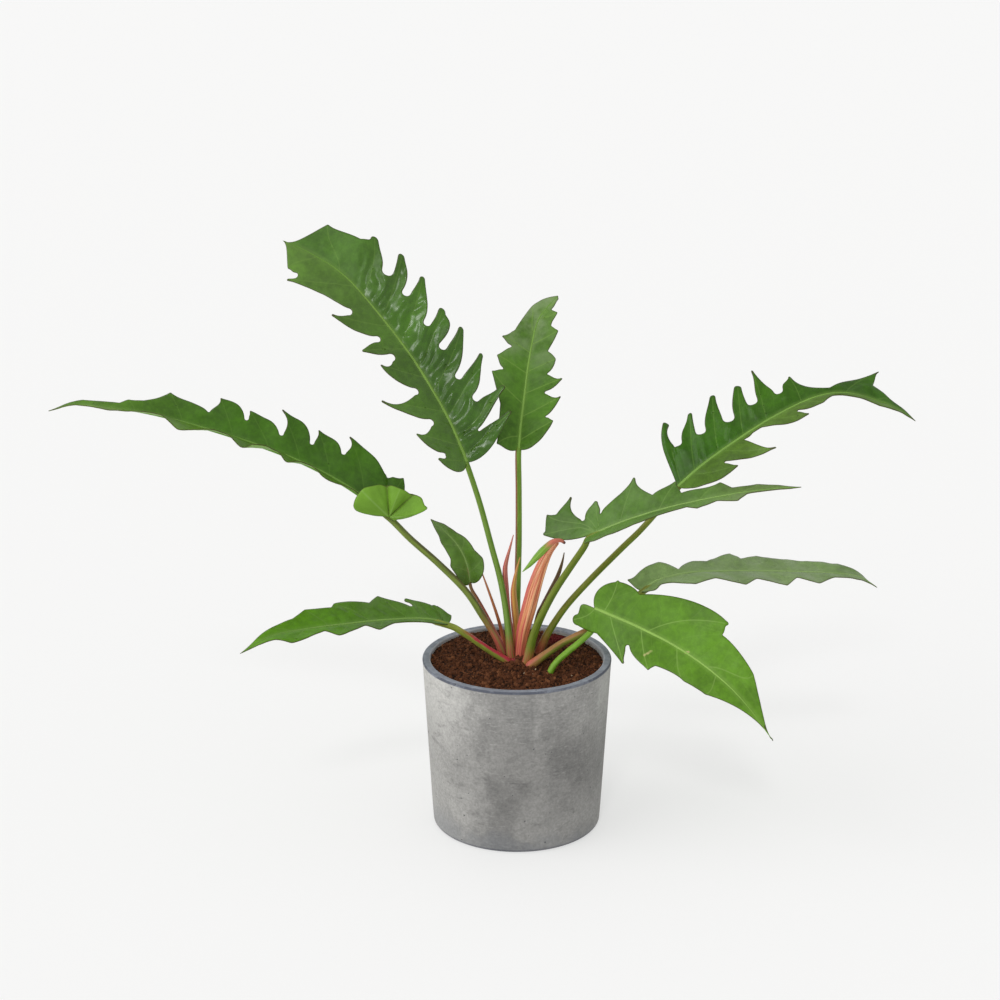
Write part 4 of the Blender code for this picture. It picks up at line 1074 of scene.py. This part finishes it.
def flatLeaf(form):
    # the flattened blade: points, triangles and how far each point is from veins, edge and midrib
    flip = np.array([1, -1])
    right, left = sideOutline(form, "right"), sideOutline(form, "left") * flip
    outline = np.vstack([right, left[-2:0:-1]])
    closed = np.vstack([outline, outline[:1]])
    points = list(outline)
    edges = [(i, (i + 1) % len(outline)) for i in range(len(outline))]

    def addLine(line, first=None, last=None):
        indices = [first] if first is not None else []
        for point in line[(first is not None):len(line) - (last is not None)]:
            indices.append(len(points))
            points.append(point)
        if last is not None:
            indices.append(last)
        edges.extend(zip(indices[:-1], indices[1:]))

    count = int((form["length"] - form["heel"]) / leafBuild["ribStep"])
    stations = np.linspace(form["heel"], form["length"], count)
    addLine(np.stack([stations, 0 * stations], 1), 0, len(right) - 1)
    mains, fines = [], []
    for side, mirror in (("right", 1), ("left", -1)):
        sideMains, sideFines = lobeVeins(form, side)
        mains += [trimmed(line * (1, mirror), outline, 0.9) for line in sideMains]
        fines += [trimmed(line * (1, mirror), outline, 1.2) for line in sideFines]
    mains = [line for line in mains if len(line) > 2]
    fines = [line for line in fines if len(line) > 2]
    for line in mains + fines:
        addLine(evenLine(line, leafBuild["veinStep"]))
    points += gridInside(outline, closed, mains + fines)
    flat, faces = triangulated(points, edges, outline)
    gaps = {"mainGap": gapTo(mains, flat), "fineGap": gapTo(fines, flat), "edgeAndCreaseGap": gapTo([closed], flat),
            "ribGap": np.abs(flat[:, 1]), "leafShare": flat[:, 0] / form["length"],
            "rightHalf": (flat[:, 1] >= 0).astype(float)}
    if "scars" in form["spec"]:
        spots = np.array(form["spec"]["scars"], float)
        gaps["scarGap"] = np.linalg.norm(flat[:, None] - spots[None], axis=2).min(1)
    return flat, faces, gaps


def pointNormals(points, faces):
    sides = np.cross(points[faces[:, 1]] - points[faces[:, 0]], points[faces[:, 2]] - points[faces[:, 0]])
    normals = np.zeros_like(points)
    for k in range(3):
        np.add.at(normals, faces[:, k], sides)
    return unitRows(normals)


def puffed(form, flat, gaps):
    # how far the blade stands out from its plain form: puffs between veins, pleats and a ruffled edge
    isRight = flat[:, 1] >= 0

    def spread(key, other=0.0):
        right, left = (form["spec"][side].get(key, other) for side in ("right", "left"))
        return np.where(isRight, right, left)

    nearest = np.minimum(gaps["mainGap"], gaps["fineGap"])
    reach = leafBuild["veinReach"]
    puff = 0.55 * (1 - np.exp(-(nearest / reach) ** 1.4))
    puff += 0.45 * (1 - np.exp(-(gaps["mainGap"] / (2.2 * reach)) ** 2))
    inward = np.clip(gaps["edgeAndCreaseGap"] / leafBuild["edgeReach"], 0.15, 1)
    puff *= inward * np.clip(gaps["ribGap"] / 3, 0, 1)
    fade = np.clip((form["length"] - flat[:, 0]) / (0.3 * form["length"]), 0.2, 1)
    wavy = np.array([noise.noise(Vector((x, y, 3)) / leafBuild["ruffleLength"]) for x, y in flat])
    slow = np.array([noise.noise(Vector((x, y, 9)) / leafBuild["swayLength"]) for x, y in flat])
    lobe = np.where(isRight, lobeCount(form, "right", flat[:, 0], gaps["ribGap"]),
                    lobeCount(form, "left", flat[:, 0], gaps["ribGap"]))
    folds, depth = (np.where(isRight, form["spec"]["right"]["pleats"][k], form["spec"]["left"]["pleats"][k])
                    for k in range(2))
    ridge = np.cos(2 * math.pi * (folds * lobe + 0.9 * slow))
    ridge = np.sign(ridge) * np.abs(ridge) ** 0.8
    near = np.clip((gaps["ribGap"] - leafBuild["pleatStart"]) / 6, 0, 1)
    pleats = depth * ridge * near * np.clip(1.4 - gaps["ribGap"] / leafBuild["pleatEnd"], 0.1, 1)
    pleats *= np.clip(0.75 + 1.6 * wavy, 0.1, 1.5) * inward * fade
    ruffle = leafBuild["ruffle"] * spread("ruffle", 1.0) * wavy
    ruffle *= np.exp(-gaps["edgeAndCreaseGap"] / leafBuild["ruffleReach"])
    return spread("puff") * puff * fade * (1 + 0.5 * wavy) + pleats + ruffle


def leafMaterial(name, spec):
    made, tree, shader = newMaterial(name, 0.35, specular=spec.get("specular", 0.2))
    leafShare, rightHalf = attributeValue(tree, "leafShare"), attributeValue(tree, "rightHalf")
    broad = ranged(noiseValue(tree, 16, 3), 0.35, 0.65)
    fine = ranged(noiseValue(tree, 160, 3, 0.6), 0.3, 0.7, 0.0, 0.4)
    clouds = plus(times(broad, 0.6), fine)
    tipGreen = spec.get("tipGreen", spec["green"])
    towardsTip = ranged(leafShare, *spec.get("tipFrom", (0.3, 0.85)))
    deep, light = (mixColour(towardsTip, shade(spec["green"], share), shade(tipGreen, share))
                   for share in (0.68, 1.3))
    colour = mixColour(clouds, deep, light)
    mottle = ranged(noiseValue(tree, 420, 3, 0.7), 0.45, 0.75, 0.0, 0.25)
    colour = mixColour(mottle, colour, deep)
    # each half's colour is multiplied by its tone, painted shade where the half is darker and painted sheen
    # where it is paler, under a pale film that is partly a waxy coat and partly painted sheen
    halfShadeAndSheen = mixColour(rightHalf, spec["left"].get("tone", (1, 1, 1)), spec["right"].get("tone", (1, 1, 1)))
    colour = mixColour(1.0, colour, halfShadeAndSheen, "MULTIPLY")
    bloomAndSheen = ranged(noiseValue(tree, 38, 4, 0.6), 0.38, 0.68, 0.0, spec.get("bloomAndSheen", 0.05))
    if "bloomAndSheenFrom" in spec:
        bloomAndSheen = times(bloomAndSheen, ranged(leafShare, *spec["bloomAndSheenFrom"]))
    colour = mixColour(bloomAndSheen, colour, leafBuild["filmPaleAndSheen"])
    # fine veins, main veins and the glow beside the midrib, then scars and the dark edge, which on the fan
    # also paints shade along its creases
    mainGap, fineGap = attributeValue(tree, "mainGap"), attributeValue(tree, "fineGap")
    colour = mixColour(ranged(fineGap, 0.7, 0.0, 0.0, 0.35 * spec["veinShare"]), colour, spec["vein"])
    colour = mixColour(ranged(mainGap, 0.8, 0.1, 0.0, spec["veinShare"] * 2), colour, spec["vein"])
    ribGap = attributeValue(tree, "ribGap")
    colour = mixColour(ranged(ribGap, 5.0, 1.2, 0.0, 0.25), colour, spec["vein"])
    if "scars" in spec:
        scar = ranged(attributeValue(tree, "scarGap"), 2.2, 0.8, 0.0, 0.8)
        colour = mixColour(scar, colour, leafBuild["scarTan"])
    edge = ranged(attributeValue(tree, "edgeAndCreaseGap"), 0.75, 0.1, 0.0, 0.75)
    colour = mixColour(edge, colour, leafBuild["edgeBrownAndCreaseShade"])
    rough = ranged(noiseValue(tree, 70, 3), 0.3, 0.7, *spec["gloss"])
    if "mattFrom" in spec:
        rough = plus(rough, ranged(leafShare, *spec["mattFrom"], 0.0, 0.35))
    dress(shader, colour, noiseValue(tree, 240, 4, 0.65), spec.get("grain", 0.14), 0.0012, rough)
    return made


def undersideMaterial(name, spec):
    made, tree, shader = newMaterial(name, 0.5, specular=0.18)
    parts = zip(spec["green"], leafBuild["underShare"], leafBuild["underAdded"])
    under = spec.get("fanGreen") or tuple(green * share + added for green, share, added in parts)
    broad = ranged(noiseValue(tree, 30, 3), 0.35, 0.65)
    colour = mixColour(broad, shade(under, 0.85), shade(under, 1.12))
    veins = mathNode("MINIMUM", attributeValue(tree, "mainGap"), attributeValue(tree, "fineGap"))
    colour = mixColour(ranged(veins, 0.9, 0.1, 0.0, 0.35), colour, leafBuild["underVein"])
    # the dark edge, which on the fan also paints shade along its creases
    edge = ranged(attributeValue(tree, "edgeAndCreaseGap"), 0.75, 0.1, 0.0, 0.7)
    colour = mixColour(edge, colour, leafBuild["edgeBrownAndCreaseShade"])
    dress(shader, colour, noiseValue(tree, 500, 3, 0.6), 0.15, 0.0006)
    return made


def ribMaterial(name, spec):
    made, tree, shader = newMaterial(name, 0.42, specular=0.22)
    streaks = ranged(stemNoise(tree, 3.0, 12.0), 0.35, 0.65)
    colour = mixColour(streaks, spec["vein"], shade(spec["vein"], 1.3))
    fading = ranged(attributeValue(tree, "along"), 0.55, 1.0, 0.0, 0.7)
    colour = mixColour(fading, colour, shade(spec["green"], 1.3))
    dress(shader, colour, noiseValue(tree, 700, 2, 0.6), 0.1, 0.0003)
    return made


def sweepTree():
    # a curve with a radius at each point becomes a closed stem, round or ridged
    tree, given = geometryTree("stemSweep", [
        ("Sides", "Int", 24), ("Ridges", "Float", 0.0), ("Ridge Depth", "Float", 0.0),
        ("Flatness", "Float", 0.0), ("Stem Material", "Material", None)])

    def stored(geometry, name, value, kind="FLOAT"):
        return addNode(tree, "GeometryNodeStoreNamedAttribute",
                       {"Geometry": geometry, "Name": name, "Value": value},
                       data_type=kind, domain="POINT").outputs[0]

    route = stored(given["Geometry"], "along", addNode(tree, "GeometryNodeSplineParameter").outputs["Factor"])
    ring = addNode(tree, "GeometryNodeCurvePrimitiveCircle", {"Resolution": given["Sides"], "Radius": 1.0})
    around = addNode(tree, "GeometryNodeSplineParameter").outputs["Factor"]
    ridge = mathNode("COSINE", times(times(around, given["Ridges"]), 2 * math.pi))
    swell = plus(times(ridge, given["Ridge Depth"]), 1.0)
    at = addNode(tree, "GeometryNodeInputPosition").outputs[0]
    thin = mathNode("SUBTRACT", 1.0, given["Flatness"])
    flatter = addNode(tree, "ShaderNodeCombineXYZ", {"X": 1.0, "Y": thin, "Z": 1.0}).outputs[0]
    wider = vectorNode("MULTIPLY", vectorNode("SCALE", at, swell), flatter)
    ring = stored(stored(ring.outputs["Curve"], "ridge", ridge), "ring", at, "FLOAT_VECTOR")
    ring = addNode(tree, "GeometryNodeSetPosition", {"Geometry": ring, "Position": wider}).outputs[0]
    radius = addNode(tree, "GeometryNodeInputRadius").outputs[0]
    swept = addNode(tree, "GeometryNodeCurveToMesh",
                    {"Curve": route, "Profile Curve": ring, "Scale": radius, "Fill Caps": True}).outputs[0]
    smooth = addNode(tree, "GeometryNodeSetShadeSmooth", {"Geometry": swept}).outputs[0]
    real = addNode(tree, "GeometryNodeRealizeInstances", {"Geometry": smooth}).outputs[0]
    return closeTree(tree, real, given["Stem Material"])


stemSweep = sweepTree()


def sweptStem(name, points, radii, material, sides=24, ridges=0, ridgeDepth=0.0, flatness=0.0):
    curve = bpy.data.curves.new(name + "Route", "CURVE")
    curve.dimensions = "3D"
    spline = curve.splines.new("POLY")
    spline.points.add(len(points) - 1)
    for spot, radius, at in zip(points, radii, spline.points):
        at.co = (*(float(c) * mm for c in spot), 1)
        at.radius = float(radius) * mm
    route = newObject(name + "Route", curve)
    modifier = route.modifiers.new("sweep", "NODES")
    modifier.node_group = stemSweep
    setInputs(modifier, {"Sides": sides, "Ridges": float(ridges), "Ridge Depth": ridgeDepth,
                         "Flatness": flatness, "Stem Material": material})
    mesh = bakedMesh(route)
    cleaned(mesh, 1e-7)
    return newObject(name, mesh)


# the upright scalloped base of the long left leaf, as (degrees round its heel, reach), seen from the front
fan = {
    "heel": (-127, 12, 320), "across": (1.0, 0.0, 0.0), "up": (0.0, 0.22, 0.98),
    "towards": (0.0, -0.98, 0.22),
    "edge": [(176, 12), (170, 33), (163, 37), (152, 38), (131, 38.5), (116, 35), (106, 34), (98, 31.5),
             (93, 31), (86, 32), (71, 31), (58, 31.5), (48, 31), (40, 34.5), (31, 38), (24, 37.5),
             (18, 37.5), (13, 41), (9, 33), (5, 25.5), (-4, 16), (-15, 9), (-60, 3)],
    "creases": [176, 94, 43, -40], "puff": 7.0, "fullReach": 30, "ripple": 0.8, "steps": 132, "rings": 16,
    "farGap": 9.0,
}


def makeFan(name, materials):
    heel, across, up, towards = (np.array(fan[key], float) for key in ("heel", "across", "up", "towards"))
    angles = np.linspace(fan["edge"][0][0], fan["edge"][-1][0], fan["steps"])
    keys = np.array(fan["edge"], float)[::-1]
    reach = np.interp(angles, keys[:, 0], keys[:, 1])
    reach = np.convolve(np.pad(reach, 1, "edge"), np.ones(3) / 3, "valid")
    creases = np.array(fan["creases"][::-1], float)
    spot = np.interp(angles, creases, np.arange(len(creases)))
    inLobe = np.abs(np.sin(math.pi * spot)) ** 0.75
    fromCrease = np.min(np.abs(angles[:, None] - creases[None, :]), 1)
    fromVein = np.min(np.abs(spot[:, None] - (np.arange(len(creases) - 1) + 0.5)[None, :]), 1)
    points, faces, fineGap, edgeAndCreaseGap = [heel], [], [fan["farGap"]], [fan["farGap"]]
    for ring in range(1, fan["rings"] + 1):
        share = ring / fan["rings"]
        for i, angle in enumerate(angles):
            radius = reach[i] * share
            turn = math.radians(angle)
            full = min(reach[i] / fan["fullReach"], 1)
            lift = fan["puff"] * inLobe[i] * math.sin(math.pi * share * 0.62) * full
            lift += fan["ripple"] * share * noise.noise(Vector((angle / 9, share * 3, 0)))
            points.append(heel + radius * (math.cos(turn) * across + math.sin(turn) * up) + lift * towards)
            crease = radius * math.radians(fromCrease[i])
            fineGap.append(radius * fromVein[i] * 0.9)
            # the dark edge colour also runs along the creases, as painted shade
            edgeAndCreaseGap.append(min(reach[i] - radius, 0.3 + 0.3 * crease))
    noGap = [fan["farGap"]] * len(points)
    gaps = {"mainGap": [0.0] + noGap[1:], "fineGap": fineGap, "edgeAndCreaseGap": edgeAndCreaseGap, "ribGap": noGap}

    def at(ring, i):
        return 1 + (ring - 1) * fan["steps"] + i

    for i in range(fan["steps"] - 1):
        faces.append((0, at(1, i + 1), at(1, i)))
        for ring in range(1, fan["rings"]):
            faces.append((at(ring, i), at(ring, i + 1), at(ring + 1, i + 1), at(ring + 1, i)))
    return thickSheet(name, np.array(points), faces, gaps, materials)


def thickSheet(name, points, faces, gaps, materials):
    # a sheet of leaf with its own thickness, upper material on its face and lower on its back
    mesh = bpy.data.meshes.new(name + "Sheet")
    mesh.from_pydata([tuple(p) for p in points * mm], [], [tuple(int(i) for i in face) for face in faces])
    for gapName, values in gaps.items():
        floatAttribute(mesh, gapName, values)
    mesh.shade_smooth()
    for material in materials:
        mesh.materials.append(material)
    sheet = newObject(name + "Sheet", mesh)
    solid = sheet.modifiers.new("thickness", "SOLIDIFY")
    solid.thickness = leafBuild["thickness"] * mm
    solid.offset = -1
    solid.material_offset = 1
    solid.material_offset_rim = 0
    return newObject(name, bakedMesh(sheet))


def makeBlade(leafName, spec):
    name, form = leafName + "Blade", leafForm(spec)
    flat, faces, gaps = flatLeaf(form)
    plain = leafPoints(form, flat[:, 0], flat[:, 1])
    normals = pointNormals(plain, faces)
    toFace = ribFrame(form, flat[:, 0])[1]
    if (normals * toFace).sum(1).mean() < 0:
        faces, normals = faces[:, ::-1], -normals
    raised = plain + normals * puffed(form, flat, gaps)[:, None]
    top, under = leafMaterial(name + "Upper", spec), undersideMaterial(name + "Lower", spec)
    ribFinish = ribMaterial(name + "Midrib", spec)
    blade = thickSheet(name, raised, faces, gaps, (top, under))

    count = int(form["length"] / leafBuild["midribStep"])
    along = np.linspace(form["heel"] + 1, form["length"] - 1.5, count)
    share = np.linspace(0, 1, count)
    radii = 0.3 + (spec["ribRadius"] - 0.3) * (1 - share) ** 0.8
    middle = leafPoints(form, along, 0 * along, -0.35 * radii)
    rib = sweptStem(name + "Rib", middle, radii, ribFinish, sides=12)
    things = [blade, rib]
    if spec.get("fan"):
        things.append(makeFan(name + "Fan", (under, top)))
    blade = joined(name, things)
    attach(blade, "root")
    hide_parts("blade_" + nodeName(leafName))
    return form


stalks = {
    "rootShare": 0.3, "rootHeight": 165.0, "steps": 80, "sides": 24, "flare": 0.28, "flareReach": 0.1,
    "flatness": 0.12, "yellow": (0.27, 0.34, 0.045), "crimson": (0.4, 0.02, 0.05), "pink": (0.5, 0.1, 0.09),
}
# the looks of the stalks: body, then the colour of the side that faces one way and how much of it there is.
# On green, warmGreen and bright that colour is painted light on the side the light falls on; on the others
# it is the stalk's own colour. from is how squarely a spot has to face that way, green the share of the
# length where the side colour gives out, blush how far the red foot reaches and blushShare how strong it is
stalkLooks = {
    "green": {
        "body": (0.07, 0.16, 0.0105), "tint": (0.158, 0.255, 0.04), "side": (-0.8, -0.3, 0.5), "share": 0.5},
    "warmGreen": {
        "body": (0.078, 0.128, 0.0045), "tint": (0.16, 0.19, 0.015), "side": (-0.8, -0.3, 0.5),
        "share": 0.5},
    "redSided": {
        "body": (0.1, 0.2, 0.018), "tint": (0.22, 0.065, 0.04), "side": (-1, 0.15, 0), "share": 0.9},
    "purpleTopped": {
        "body": (0.122, 0.17, 0.028), "tint": (0.05, 0.026, 0.022), "side": (0.75, -0.1, 0.66),
        "share": 0.6, "from": (0.6, 0.82), "green": 0.78, "blush": 0.3, "blushShare": 0.9},
    "olive": {
        "body": (0.114, 0.175, 0.0078), "tint": (0.19, 0.16, 0.02), "side": (-0.6, -0.3, 0.7), "share": 0.5},
    "pinkTopped": {
        "body": (0.165, 0.18, 0.026), "tint": (0.4, 0.15, 0.075), "side": (-0.35, -0.1, 0.9), "share": 0.65,
        "green": 0.72},
    "bright": {
        "body": (0.1, 0.25, 0.01), "tint": (0.2, 0.36, 0.04), "side": (-0.5, -0.2, 0.8), "share": 0.5,
        "blushShare": 0.0},
    "crimsonTopped": {
        "body": (0.2, 0.24, 0.035), "tint": (0.38, 0.02, 0.045), "side": (0.35, 0.0, 0.9), "share": 0.95,
        "green": 0.55},
    "crimsonBased": {
        "body": (0.12, 0.1, 0.035), "tint": (0.06, 0.035, 0.022), "side": (0.6, 0.1, 0.7), "share": 0.5,
        "blush": 0.9, "blushShare": 0.95},
}


def stalkMaterial(name, look):
    made, tree, shader = newMaterial(name, 0.36, specular=0.24)
    clouds = ranged(stemNoise(tree, 1.2, 9.0), 0.35, 0.65)
    colour = mixColour(clouds, shade(look["body"], 0.85), shade(look["body"], 1.25))
    streaks = ranged(stemNoise(tree, 9.0, 6.0, 4, 0.7), 0.42, 0.72, 0.0, 0.4)
    colour = mixColour(streaks, colour, stalks["yellow"])
    # the colour on the side that it faces, with an uneven border: painted light on the lit side of the
    # green, warmGreen and bright stalks, and the stalk's own colour on the others
    wander = times(mathNode("SUBTRACT", stemNoise(tree, 2.0, 14.0), 0.5), 0.7)
    towards = plus(facing(tree, look["side"]), wander)
    tint = ranged(towards, *look.get("from", (0.1, 0.5)), 0.0, look["share"])
    along = attributeValue(tree, "along")
    if "green" in look:
        tint = times(tint, ranged(along, look["green"] + 0.15, look["green"] - 0.1))
    colour = mixColour(tint, colour, look["tint"])
    # the red foot
    reach = look.get("blush", 0.17)
    blush = times(ranged(along, reach, 0.35 * reach), ranged(stemNoise(tree, 3.0, 5.0), 0.34, 0.6, 0.25, 1.0))
    red = mixColour(ranged(stemNoise(tree, 5.0, 3.0), 0.4, 0.62), stalks["pink"], stalks["crimson"])
    colour = mixColour(times(blush, look.get("blushShare", 0.75)), colour, red)
    dress(shader, colour, stemNoise(tree, 12.0, 8.0, 3, 0.6), 0.18, 0.0005)
    return made


def rooted(route):
    # the route with a start of its own inside the crown
    foot = np.array(route[0], float)
    start = foot + stalks["rootShare"] * (np.array((*crown["centre"], foot[2])) - foot)
    return [(start[0], start[1], stalks["rootHeight"])] + list(route)


def makeStalk(leafName, spec, form):
    name = leafName + "Stalk"
    base, top = spec["stalkRadius"]
    rib = spec["ribRadius"]
    heel = form["heel"]
    # the end runs on below the midrib, ever nearer to it
    ends = leafPoints(form, np.array([heel - 6.0, heel + 8.0, heel + 24.0]), np.zeros(3),
                      np.array([-top * 0.9, -top * 0.62, -rib * 0.7]))
    if spec.get("ownHole"):
        ends = leafPoints(form, np.array([2.0, 2.0]), np.zeros(2), np.array([-9.0, -1.5]))
        route = list(spec["stalk"]) + [tuple(p) for p in ends]
    else:
        route = rooted(spec["stalk"]) + [tuple(p) for p in ends]
    points, run = smoothRoute(route, stalks["steps"])
    share = run / run[-1]
    radii = np.interp(share, [0, 0.35, 0.9, 1], [base, (base + top) / 2, top, rib * 0.7])
    if not spec.get("ownHole"):
        radii *= 1 + stalks["flare"] * np.exp(-((share - 0.04) / stalks["flareReach"]) ** 2)
    material = stalkMaterial(name, stalkLooks[spec["stalkFinish"]])
    stalk = sweptStem(name, points, radii, material, sides=stalks["sides"], flatness=stalks["flatness"])
    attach(stalk, "root")
    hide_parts("stalk_" + nodeName(leafName))


for leafName, leafSpec in leaves.items():
    leafShape = makeBlade(leafName, leafSpec)
    makeStalk(leafName, leafSpec, leafShape)
    print("leaf ready:", leafName)


# colours are (dark, body, pale, edge), and edgeSide is the way the edge colour faces
spikes = {
    "pinkSpike": {
        "node": "spike_pink", "slot": "spike_pink", "radii": [2.6, 2.7, 2.6, 2.7, 3.1, 2.6, 1.5, 0.45],
        "route": [(-5, 21, 175), (-6.5, 24, 196), (-9, 30, 215), (-11, 33, 235), (-12, 34, 254),
                  (-11, 34, 264), (-7, 34, 280), (-3.5, 34, 294)],
        "colours": ((0.3, 0.05, 0.05), (0.5, 0.13, 0.1), (0.66, 0.34, 0.22), (0.42, 0.03, 0.06)),
        "edgeSide": (-1, -0.2, -0.2), "ridges": 3, "ridgeDepth": 0.12, "flatness": 0.3},
    "goldSpike": {
        "node": "spike_gold", "slot": "spike_gold", "radii": [2.4, 3.0, 3.6, 3.7, 3.0, 1.6, 0.45],
        "route": [(-2, 14, 175), (-0.5, 16, 190), (-1, 19, 207), (-2.6, 21, 224), (-3.4, 22, 239),
                  (-1.4, 21, 256), (3, 20, 275)],
        "colours": ((0.36, 0.16, 0.03), (0.52, 0.28, 0.06), (0.62, 0.42, 0.13), (0.5, 0.09, 0.07)),
        "edgeSide": (-1, -0.1, -0.1), "ridges": 3, "ridgeDepth": 0.12, "flatness": 0.25},
    "brownSpike": {
        "node": "spike_brown", "slot": "spike_brown", "radii": [1.8, 1.7, 1.7, 2.1, 2.3, 1.9, 0.5],
        "route": [(12, 21, 173), (20.5, 18, 212), (26, 17, 225), (34, 15, 242), (41, 14, 258),
                  (45, 12, 272), (47, 11, 283)],
        "colours": ((0.06, 0.028, 0.014), (0.11, 0.055, 0.03), (0.16, 0.14, 0.045), (0.05, 0.012, 0.014)),
        "edgeSide": (1, -0.1, 0.3), "ridges": 4, "ridgeDepth": 0.08, "flatness": 0.1},
    "thinSpike": {
        "node": "spike_thin", "slot": "spike_gold", "radii": [2.2, 2.0, 1.7, 1.4, 1.1, 0.5],
        "route": [(-11.5, 25.5, 172), (-15, 31, 190), (-20, 31, 209), (-28, 33, 233), (-36, 34, 256)],
        "colours": ((0.3, 0.09, 0.03), (0.42, 0.15, 0.05), (0.52, 0.24, 0.09), (0.35, 0.05, 0.04)),
        "edgeSide": (-1, 0, -0.3), "ridges": 3, "ridgeDepth": 0.08, "flatness": 0.0},
    "newLeafSheath": {
        "node": "new_leaf_sheath", "slot": "sheath", "radii": [5.0, 5.4, 6.6, 7.1, 6.9, 6.0, 4.6, 2.6],
        "route": [(2.5, 4, 174), (6, 6, 200), (12.5, 5, 228), (18, 3, 251), (25, -1, 274), (31.5, -6, 290),
                  (39, -10, 301)],
        "colours": ((0.5, 0.1, 0.055), (0.7, 0.27, 0.115), (0.92, 0.62, 0.36), (0.46, 0.045, 0.075)),
        "edgeSide": (-1, -0.35, -0.25), "ridges": 7, "ridgeDepth": 0.07, "flatness": 0.2, "sides": 56},
}


def spikeMaterial(name, colours, edgeSide):
    dark, body, pale, edge = colours
    made, tree, shader = newMaterial(name, 0.45, specular=0.22)
    colour = mixColour(ranged(stemNoise(tree, 4.0, 3.0), 0.38, 0.62), dark, body)
    ridge = ranged(attributeValue(tree, "ridge"), 0.1, 0.95, 0.0, 0.45)
    colour = mixColour(ridge, colour, body)
    along = attributeValue(tree, "along")
    lines = ranged(stemNoise(tree, 13.0, 1.8, 4, 0.6), 0.5, 0.6, 0.0, 0.9)
    lines = times(lines, ranged(along, 0.2, 0.5, 0.25, 1.0))
    colour = mixColour(lines, colour, pale)
    wander = times(mathNode("SUBTRACT", stemNoise(tree, 5.0, 3.0), 0.5), 1.1)
    side = ranged(plus(facing(tree, edgeSide), wander), 0.55, 0.95, 0.0, 0.75)
    colour = mixColour(side, colour, edge)
    foot = times(ranged(along, 0.3, 0.1), ranged(stemNoise(tree, 4.0, 2.0), 0.4, 0.6, 0.1, 0.75))
    colour = mixColour(foot, colour, stalks["crimson"])
    dress(shader, colour, stemNoise(tree, 12.0, 3.0, 4, 0.65), 0.3, 0.0007)
    return made


def makeSpikes():
    for name, spec in spikes.items():
        points, run = smoothRoute(rooted(spec["route"]), 70)
        share = run / run[-1]
        radii = np.interp(share, np.linspace(0, 1, len(spec["radii"])), spec["radii"])
        material = spikeMaterial(name, spec["colours"], spec["edgeSide"])
        spike = sweptStem(name, points, radii, material, sides=spec.get("sides", 28), ridges=spec["ridges"],
                          ridgeDepth=spec["ridgeDepth"], flatness=spec["flatness"])
        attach(spike, "root")
        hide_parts(spec["node"])


newLeaf = {
    "route": [(46, -14, 302), (42, -17, 305.5), (35, -20.5, 305.5), (27, -23.5, 299.5), (19, -25.5, 291.5),
              (12, -26.5, 283.5), (5, -26.5, 276)], "radii": [2.4, 3.6, 4.8, 5.4, 4.6, 3.0, 0.5],
    "flatness": 0.45, "green": (0.1, 0.24, 0.012), "pale": (0.24, 0.4, 0.06), "pink": (0.5, 0.15, 0.1),
    "browns": (0.05, 0.015, 0.01),
}


def makeNewLeaf():
    # the newest leaf, still rolled up and bent over from the mouth of its sheath
    points, run = smoothRoute(newLeaf["route"], 48)
    radii = np.interp(run / run[-1], np.linspace(0, 1, len(newLeaf["radii"])), newLeaf["radii"])
    made, tree, shader = newMaterial("rolledLeaf", 0.38, specular=0.24)
    along = attributeValue(tree, "along")
    streaks = ranged(stemNoise(tree, 5.0, 2.5, 4), 0.38, 0.66, 0.0, 0.8)
    colour = mixColour(streaks, newLeaf["green"], newLeaf["pale"])
    wander = plus(along, times(stemNoise(tree, 3.0, 2.0), 0.3))
    colour = mixColour(ranged(wander, 0.62, 0.4), colour, newLeaf["pink"])
    colour = mixColour(ranged(along, 0.09, 0.03, 0.0, 0.9), colour, newLeaf["browns"])
    dress(shader, colour, stemNoise(tree, 9.0, 3.0), 0.25, 0.0005)
    blade = sweptStem("newLeaf", points, radii, made, sides=36, ridges=3, ridgeDepth=0.12,
                      flatness=newLeaf["flatness"])
    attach(blade, "root")
    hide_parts("blade_new")


makeSpikes()
makeNewLeaf()
print("spikes, sheath and new leaf ready")
